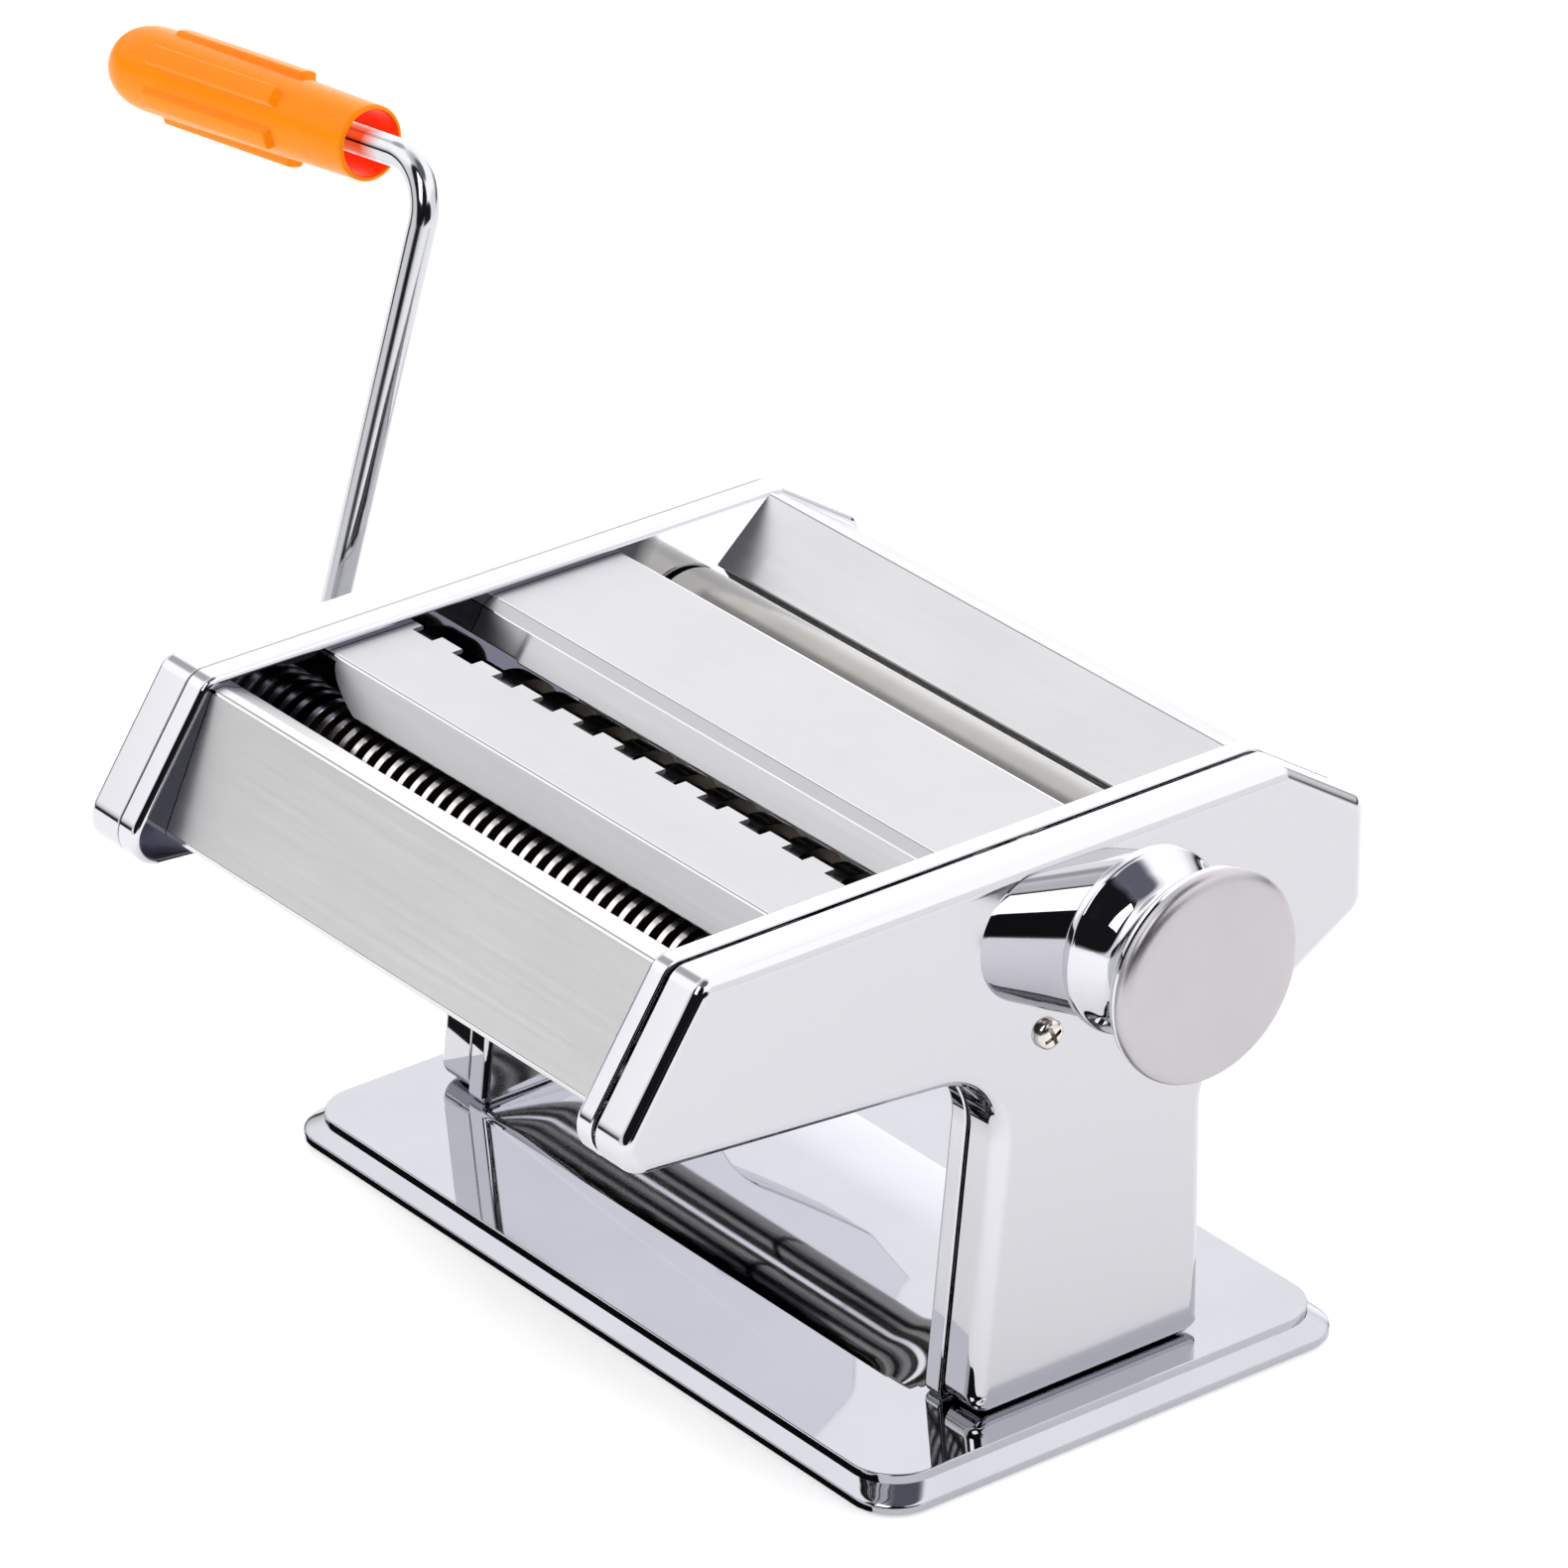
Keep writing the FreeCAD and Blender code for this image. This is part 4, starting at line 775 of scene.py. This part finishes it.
def roll(node, axis, mid, driven, mat=None):
    v, f = lathe(ends(driven) + mid + [(78.6, 4.0), (78.8, 3.8), (78.8, 0.0)], axis, 96)
    picks = None
    if isinstance(mat, list):
        picks = []
        for t_ in f:
            r_ = max(math.hypot(v[i][1] - axis[0], v[i][2] - axis[1]) for i in t_)
            lo = min(math.hypot(v[i][1] - axis[0], v[i][2] - axis[1]) for i in t_)
            picks.append(1 if lo < 9.7 and abs(v[t_[0]][0]) < RH + 0.01 and r_ > 7.0 else 0)
    return build(node + "_turned", v, f, node, mat, sharp=35.0, picks=picks)


R, RH = 12.0, 74.0
barrel = [(-RH, 4.0), (-RH, R - 0.6)] + [(-RH + 0.6 - 0.6 * math.cos(a), R - 0.6 + 0.6 * math.sin(a))
                                          for a in (0.5, 1.0)] + [(-RH + 0.6, R), (RH - 0.6, R)] + \
    [(RH - 0.6 + 0.6 * math.cos(a), R - 0.6 + 0.6 * math.sin(a)) for a in (1.0, 0.5)] + [(RH, R - 0.6), (RH, 4.0)]
roll("rear_roller", RR, barrel, True)
hollow = [(-83.9, 6.55), (-83.9, 8.0), (-RH, 8.0)] + barrel[1:-1] + [(RH, 6.55)]
v, f = loop_lathe(hollow, FR, 96)
build("front_roller_turned", v, f, "front_roller", sharp=35.0)


def discs(pitch, width, count):
    half, ro, ri, e = RH - 0.4, 10.0, 7.6, 0.12
    pts = [(-RH, 4.0), (-RH, ri)]
    for i in range(count):
        xc = (i - (count - 1) / 2.0) * pitch
        a, c = max(xc - width / 2.0, -half), min(xc + width / 2.0, half)
        if c - a < 0.6:
            continue
        pts += [(a, ri), (a, ro - e), (a + e, ro), (c - e, ro), (c, ro - e), (c, ri)]
    return pts + [(RH, ri), (RH, 4.0)]


# groove faces take the oily, painted-shade groove material
roll("narrow_front_cutter", NF, discs(4.15, 1.775, 35), True, [DISC, GROOVE_OIL_AND_SHADE])
roll("narrow_rear_cutter", NR, discs(4.15, 1.775, 36), False, [DISC, GROOVE_OIL_AND_SHADE])
roll("wide_front_cutter", WF, discs(13.8, 6.6, 11), True, [DISC, GROOVE_OIL_AND_SHADE])
roll("wide_rear_cutter", WR, discs(13.8, 6.6, 10), False, [DISC, GROOVE_OIL_AND_SHADE])

# ------------------------------------------------------------------ knob neck, knob, cap
FACE, TIP = 91.5, 104.5


def neck():
    """Raked neck: long rounded foot on the cover running out to the round seat of the knob."""
    m = 128
    cl, rl, cr, rr = (-14.5, 114.8), 14.4, KA, 14.0
    rings = []
    steps = 14
    foot = []
    for i in range(m):
        a = 2 * math.pi * i / m
        d = Vector((math.cos(a), math.sin(a)))
        c, r = (cr, rr) if d.x >= 0 else (cl, rl)
        foot.append(Vector(c) + d * r)
    seat = [Vector(KA) + Vector((math.cos(2 * math.pi * i / m), math.sin(2 * math.pi * i / m))) * 18.6 for i in range(m)]
    rings.append([(FACE - 0.35, *(p.lerp(Vector((-6.0, 115.0)), 0.6))) for p in foot])
    rings.append([(FACE - 0.35, *p) for p in foot])
    for k in range(steps + 1):
        t = k / steps
        rings.append([(FACE + (TIP - FACE) * t, *(foot[i].lerp(seat[i], t))) for i in range(m)])
    for r, x in ((18.2, TIP), (14.0, TIP), (5.3, TIP), (5.3, FACE - 0.35)):
        rings.append([(x, KA[0] + r * math.cos(2 * math.pi * i / m), KA[1] + r * math.sin(2 * math.pi * i / m)) for i in range(m)])
    rings.append(rings[0])
    v, f = skin(rings)
    return build("knob_neck", v, f, "knob_boss", NECK, sharp=40.0)


neck().visible_glossy = False
KX = 105.0
skirt = [(KX, 5.2), (KX, 19.5)] + arc_pts((KX + 0.7, 19.5), 0.7, 180, 90, 6)[1:] + [(KX + 2.0, 20.2)] + \
    flow([(KX + 2.5, 19.9), (KX + 3.0, 19.5), (KX + 5.0, 18.2), (KX + 7.0, 16.85), (KX + 8.8, 15.9), (KX + 10.2, 15.7),
          (KX + 11.8, 16.1), (KX + 13.6, 17.4), (KX + 15.4, 19.6), (KX + 17.2, 21.9), (KX + 18.4, 22.8)], 6) + [(KX + 19.2, 22.9), (KX + 19.5, 22.6), (KX + 19.5, 14.5),
                                                                           (KX + 3.5, 14.5), (KX + 3.5, 5.2)]
v, f = loop_lathe(skirt, KA, 160)
ob = loose("knob_skirt", v, f)
ga = math.radians(223.0)
gd = Vector((0, math.cos(ga), math.sin(ga)))
dv, df = [], []
c0 = Vector((KX + 5.2, KA[0], KA[1])) + gd * 13.0
e1, e2 = Vector((1, 0, 0)), Vector((0, -math.sin(ga), math.cos(ga)))
for h in (0.0, 9.0):
    for i in range(28):
        a = 2 * math.pi * i / 28
        dv.append(tuple(c0 + gd * h + e1 * (1.5 * math.cos(a)) + e2 * (1.5 * math.sin(a))))
df = [(i, (i + 1) % 28, 28 + (i + 1) % 28, 28 + i) for i in range(28)] + [tuple(range(28)), tuple(range(28, 56))]
carve(ob, [loose("grub_drill", dv, df)])
finish_piece(ob, "knob_body", CHROME, 40.0).visible_glossy = False

cap_prof = [(KX + 19.55, 0.0), (KX + 19.55, 12.6), (KX + 16.5, 12.6), (KX + 16.5, 14.4), (KX + 19.55, 14.4), (KX + 19.55, 22.5),
            (KX + 19.7, 22.8)] + flow([(KX + 20.1, 23.05), (KX + 20.7, 23.1), (KX + 21.4, 22.95), (KX + 22.1, 22.5), (KX + 22.7, 21.6),
                                       (KX + 23.05, 20.4), (KX + 23.35, 18.0), (KX + 23.7, 13.0), (KX + 24.0, 7.0)], 6) + \
    [(KX + 24.15, 3.0), (KX + 24.2, 0.0)]
v, f = lathe(cap_prof, KA, 160)
build("knob_face", v, f, "knob_cap", sharp=40.0).visible_glossy = False

# ------------------------------------------------------------------ knob spring, pressed together as the knob is drawn out
rings = []
for i in range(161):
    a = 2 * math.pi * 4.0 * i / 160
    rad = Vector((0, math.cos(a), math.sin(a)))
    run = Vector((9.9, -7.0 * 8 * math.pi * math.sin(a), 7.0 * 8 * math.pi * math.cos(a))).normalized()
    off = run.cross(rad)
    c = Vector((KX + 4.3 + 9.9 * i / 160, KA[0], KA[1])) + rad * 7.0
    rings.append([tuple(c + rad * (0.7 * math.cos(2 * math.pi * k / 14)) + off * (0.7 * math.sin(2 * math.pi * k / 14))) for k in range(14)])
v, f = skin(rings)
f.append(tuple(range(14)))
f.append(tuple(range(160 * 14, 161 * 14)))
coil = build("knob_spring_wire", v, f, "knob_spring", sharp=50.0, weighted=False)
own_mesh(coil)

# ------------------------------------------------------------------ cover screws
sv, sf = [], []
ob = None
for s in (-1, 1):
    dome = [(FACE - 6.0, 0.0), (FACE - 6.0, 1.75), (FACE + 0.02, 1.75), (FACE + 0.02, 3.2), (FACE + 0.15, 3.3), (FACE + 0.75, 3.3)] + \
        [(FACE + 0.75 + 1.5 * math.sin(a), 3.3 * math.cos(a) ** 0.8) for a in (0.25, 0.5, 0.75, 1.0, 1.2, 1.35)] + [(FACE + 2.28, 0.0)]
    v, f = lathe(dome, SCREW, 64)
    k = len(sv)
    sv += [(s * x, y, z) for x, y, z in v]
    sf += [tuple(i + k for i in t) for t in f]
ob = loose("cover_screw_heads", sv, sf)
cuts = []
for s in (-1, 1):
    for q in range(2):
        a = math.radians(24.0 + 90.0 * q)
        xs = sorted((s * (FACE + 0.35), s * (FACE + 4.0)))
        cuts.append(brick("drive_%d_%d" % (s, q), (xs[0], SCREW[0] - 2.2, SCREW[1] - 0.46), (xs[1], SCREW[0] + 2.2, SCREW[1] + 0.46), (SCREW, a)))
carve(ob, cuts)
finish_piece(ob, "cover_screws", NICKEL, 35.0)

# ------------------------------------------------------------------ crank rod and grip
LEAN = math.radians(16.83)
DROOP = math.radians(6.3)
ARM_X, THROW, BEND, ROD = 106.5, 111.7, 11.5, 3.2


def crank_pt(x, h):
    return Vector((x, WF[0] + h * math.sin(LEAN), WF[1] + h * math.cos(LEAN)))


def bent_path(pts, r, n=18):
    out = [Vector(pts[0])]
    for i in range(1, len(pts) - 1):
        p = Vector(pts[i])
        d0 = (p - Vector(pts[i - 1])).normalized()
        d1 = (Vector(pts[i + 1]) - p).normalized()
        th = math.atan2(d0.x * d1.y - d0.y * d1.x, d0.dot(d1))
        t = r * math.tan(abs(th) / 2)
        sg = 1.0 if th > 0 else -1.0
        s = p - d0 * t
        left = Vector((-d0.y, d0.x)) * sg
        c = s + left * r
        for k in range(n + 1):
            g = th * k / n
            o = -left
            out.append(c + Vector((o.x * math.cos(g) - o.y * math.sin(g), o.x * math.sin(g) + o.y * math.cos(g))) * r)
    out.append(Vector(pts[-1]))
    return out


pin = Vector((-math.cos(DROOP), -math.sin(DROOP)))
tip = Vector((-ARM_X, THROW)) + pin * 98.0
path = bent_path([(-80.0, 0.0), (-ARM_X, 0.0), (-ARM_X, THROW), tuple(tip)], BEND)
side_n = Vector((0, math.cos(LEAN), -math.sin(LEAN)))
rings = []
for i, q in enumerate(path):
    a = path[max(i - 1, 0)]
    b = path[min(i + 1, len(path) - 1)]
    d2 = (b - a).normalized()
    n2 = Vector((-d2.y, d2.x))
    nw = crank_pt(n2.x, n2.y) - crank_pt(0, 0)
    c = crank_pt(q.x, q.y)
    dw = crank_pt(d2.x, d2.y) - crank_pt(0, 0)
    ring_r = [(0.0, ROD)]
    if i == 0:
        ring_r = [(0.0, ROD - 0.6), (0.5, ROD - 0.15), (1.0, ROD)]
    for off, rr_ in ring_r:
        rings.append([tuple(c + dw * off + nw * (rr_ * math.cos(2 * math.pi * k / 40)) + side_n * (rr_ * math.sin(2 * math.pi * k / 40)))
                      for k in range(40)])
v, f = skin(rings)
f.append(tuple(range(40)))
f.append(tuple(range((len(rings) - 1) * 40, len(rings) * 40)))
gax = (crank_pt(pin.x, pin.y) - crank_pt(0, 0)).normalized()
mouth = crank_pt(-ARM_X + pin.x * 22.0, THROW + pin.y * 22.0).dot(gax) * MM
bar = build("crank_bar", v, f, "crank_rod", rod_painted_bore_reflection("rod_painted_bore_reflection", gax, mouth - 0.006, 0.006), sharp=45.0)
bar.visible_glossy = False

gup = side_n
gsd = gax.cross(gup).normalized()
gb = crank_pt(-ARM_X + pin.x * 22.0, THROW + pin.y * 22.0)


def grip_r(s, a):
    if s <= 74.0:
        r = 8.25 + (9.4 - 8.25) * s / 74.0
    else:
        u = (s - 74.0) / 14.0
        r = 9.4 * max(0.0, 1 - u ** 2.5) ** 0.5
    rib = 0.0
    for k in range(6):
        c = math.radians(60.0 * k + GRIP_PHASE)
        d = abs((a - c + math.pi) % (2 * math.pi) - math.pi)
        w = 1.0 - smooth01((math.degrees(d) - 11.0) / 3.4)
        rib = max(rib, w)
    lift = smooth01((s - 23.4) / 1.0) * (1.0 - smooth01((s - 67.6) / 1.4))
    top_r = 10.45
    return r + max(0.0, top_r - r) * rib * lift


GRIP_PHASE = 30.0
SEG = 216
ss = [0.35, 1.0] + [3.0 * k for k in range(1, 8)] + [23.0 + 0.2 * k for k in range(9)] + [27.0 + 4.0 * k for k in range(10)] + \
    [66.6 + 0.3 * k for k in range(10)] + [71.0, 73.0, 75.0] + [74.0 + 14.0 * math.sin(math.radians(g)) for g in range(12, 88, 4)]
prof = []
for s_, r_ in ((78.0, 0.0), (78.0, 3.28), (42.0, 3.28), (42.0, 6.5), (41.0, 6.62), (4.0, 6.98), (0.8, 7.05), (0.2, 7.15), (0.0, 7.35), (0.0, 7.9)):
    prof.append((s_, [r_] * SEG if r_ > 0 else None))
for s_ in ss:
    prof.append((s_, [grip_r(s_, 2 * math.pi * i / SEG) for i in range(SEG)]))
prof.append((88.0, None))
verts, faces, rows, picks = [], [], [], []
for s_, rr_ in prof:
    c = gb + gax * s_
    if rr_ is None:
        rows.append([len(verts)])
        verts.append(tuple(c))
        continue
    rows.append(list(range(len(verts), len(verts) + SEG)))
    for i in range(SEG):
        a = 2 * math.pi * i / SEG
        verts.append(tuple(c + gup * (rr_[i] * math.cos(a)) + gsd * (rr_[i] * math.sin(a))))
for k in range(len(rows) - 1):
    p, q = rows[k], rows[k + 1]
    picks += [1 if k < 8 else 0] * SEG
    for i in range(SEG):
        j = (i + 1) % SEG
        if len(p) == 1:
            faces.append((p[0], q[j], q[i]))
        elif len(q) == 1:
            faces.append((p[i], p[j], q[0]))
        else:
            faces.append((p[i], p[j], q[j], q[i]))
handle = build("grip_moulding", verts, faces, "grip", [ORANGE_PAINTED_GLOW, HOLLOW_PAINTED_SHADE_GLOW], sharp=60.0, weighted=False, picks=picks)
handle.visible_glossy = False        # the photograph shows neither of them in the chrome

# ------------------------------------------------------------------ floor
bm = bmesh.new()
bmesh.ops.create_circle(bm, cap_ends=True, segments=96, radius=2.4)
me = bpy.data.meshes.new("floor")
bm.to_mesh(me)
bm.free()
floor = bpy.data.objects.new("floor", me)
bpy.context.scene.collection.objects.link(floor)
m, nt, b, tc = shader("pale_floor")
n = noise(nt, tc, 3.0)
nt.links.new(ramp(nt, n.outputs["Fac"], [(0.3, (0.93, 0.93, 0.935)), (0.7, (0.95, 0.95, 0.955))]).outputs["Color"], b.inputs["Base Color"])
b.inputs["Roughness"].default_value = 0.85
b.inputs["Specular IOR Level"].default_value = 0.1
b.inputs["Emission Color"].default_value = (1.0, 1.0, 1.0, 1.0)
b.inputs["Emission Strength"].default_value = 0.44
me.materials.append(m)

# a black flag on the floor in front, as used for lining bright metal: it shows only in mirrors
me = bpy.data.meshes.new("flag")
me.from_pydata([(-0.42, -0.0685, 0.0004), (0.098, -0.0685, 0.0004), (0.098, -0.0615, 0.0004), (-0.42, -0.0615, 0.0004)], [], [(0, 1, 2, 3)])
flag = bpy.data.objects.new("flag", me)
bpy.context.scene.collection.objects.link(flag)
m, nt, b, tc = shader("flag_cloth")
n = noise(nt, tc, 40.0)
nt.links.new(ramp(nt, n.outputs["Fac"], [(0.3, (0.004, 0.004, 0.004)), (0.7, (0.008, 0.008, 0.008))]).outputs["Color"], b.inputs["Base Color"])
b.inputs["Roughness"].default_value = 0.9
b.inputs["Specular IOR Level"].default_value = 0.05
me.materials.append(m)
flag.visible_camera = False
flag.visible_diffuse = False
flag.visible_shadow = False

# ------------------------------------------------------------------ light
scene = bpy.context.scene
world = bpy.data.worlds.new("studio")
scene.world = world
world.use_nodes = True
nt = world.node_tree
nt.nodes.clear()
out = nt.nodes.new("ShaderNodeOutputWorld")
bg = nt.nodes.new("ShaderNodeBackground")
tc = nt.nodes.new("ShaderNodeTexCoord")
nt.links.new(bg.outputs["Background"], out.inputs["Surface"])


def lobe(direction, inner, outer):
    """1 near a direction, 0 beyond outer degrees."""
    d = nt.nodes.new("ShaderNodeVectorMath")
    d.operation = "DOT_PRODUCT"
    d.inputs[1].default_value = Vector(direction).normalized()
    nt.links.new(tc.outputs["Generated"], d.inputs[0])
    r = nt.nodes.new("ShaderNodeMapRange")
    r.interpolation_type = "SMOOTHSTEP"
    r.inputs["From Min"].default_value = math.cos(math.radians(outer))
    r.inputs["From Max"].default_value = math.cos(math.radians(inner))
    nt.links.new(d.outputs["Value"], r.inputs["Value"])
    return r.outputs["Result"]


def blend(fac, a, b):
    x = nt.nodes.new("ShaderNodeMix")
    x.data_type = "RGBA"
    nt.links.new(fac, x.inputs["Factor"])
    for sock, val in ((x.inputs["A"], a), (x.inputs["B"], b)):
        if isinstance(val, tuple):
            sock.default_value = (*val, 1.0)
        else:
            nt.links.new(val, sock)
    return x.outputs["Result"]


sep = nt.nodes.new("ShaderNodeSeparateXYZ")
nt.links.new(tc.outputs["Generated"], sep.inputs["Vector"])
sky = nt.nodes.new("ShaderNodeValToRGB")
steps = [(0.0, 0.02), (0.05, 0.03), (0.15, 0.95), (0.33, 1.5), (0.45, 1.62), (0.82, 1.62), (1.0, 0.6)]
els = sky.color_ramp.elements
while len(els) < len(steps):
    els.new(0.5)
for e, (p, c) in zip(els, steps):
    e.position = p
    e.color = (c, c, c * 1.01, 1.0)
nt.links.new(sep.outputs["Z"], sky.inputs["Fac"])
DARK = (0.012, 0.012, 0.014)
col = blend(lobe((0.30, -0.95, -0.02), 50, 64), sky.outputs["Color"], (1.0, 1.0, 1.02))      # pale room in front
col = blend(lobe((-0.66, 0.75, 0.02), 16, 27), col, (1.8, 1.8, 1.83))                       # bright wall behind
col = blend(lobe((-0.69, 0.02, 0.72), 6, 18), col, (0.62, 0.62, 0.64))                     # grey between the lamps
col = blend(lobe((0.80, 0.60, 0.02), 22, 32), col, (1.2, 1.2, 1.22))                       # pale wall to the right
col = blend(lobe((0.97, -0.10, 0.08), 20, 27), col, DARK)                                  # unlit side of the room
col = blend(lobe((0.40, -0.69, 0.60), 37, 43), col, DARK)                        # round the camera
col = blend(lobe((0.22, 0.10, 0.97), 12, 24), col, (0.16, 0.17, 0.21))           # ceiling
path = nt.nodes.new("ShaderNodeLightPath")
col = blend(path.outputs["Is Camera Ray"], col, (1.0, 1.0, 1.0))
nt.links.new(col, bg.inputs["Color"])
bg.inputs["Strength"].default_value = 1.0


def area(name, loc, look, size, power, color=(1, 1, 1)):
    d = bpy.data.lights.new(name, "AREA")
    d.shape = "RECTANGLE"
    d.size, d.size_y = size
    d.energy = power
    d.color = color
    o = bpy.data.objects.new(name, d)
    o.location = loc
    o.rotation_euler = (Vector(look) - Vector(loc)).to_track_quat("-Z", "Y").to_euler()
    scene.collection.objects.link(o)
    return o


area("softbox", (0.09 + 0.17 * 1.5, -0.01 - 0.62 * 1.5, 0.115 + 0.765 * 1.5), (0.09, -0.01, 0.115), (0.55, 1.0), 4.8)

# ------------------------------------------------------------------ camera
cam = bpy.data.cameras.new("camera")
cam.sensor_fit = "HORIZONTAL"
cam.sensor_width = 36.0
cam.lens = 229.92506
cam.clip_start = 0.1
cam.clip_end = 50.0
co = bpy.data.objects.new("camera", cam)
right = Vector((0.6181191452, 0.7860839656, 0.00084926))
down = Vector((0.3615539576, -0.2833400418, -0.888255119))
fwd = Vector((-0.6980024771, 0.5493545483, -0.4593496732))
mw = Matrix.Identity(4)
for i in range(3):
    mw[i][0] = right[i]
    mw[i][1] = -down[i]
    mw[i][2] = -fwd[i]
    mw[i][3] = (1.442391056, -1.141713115, 1.058189985)[i]
co.matrix_world = mw
scene.collection.objects.link(co)
scene.camera = co

scene.view_settings.view_transform = "Standard"
scene.view_settings.look = "None"
scene.view_settings.exposure = 0.0
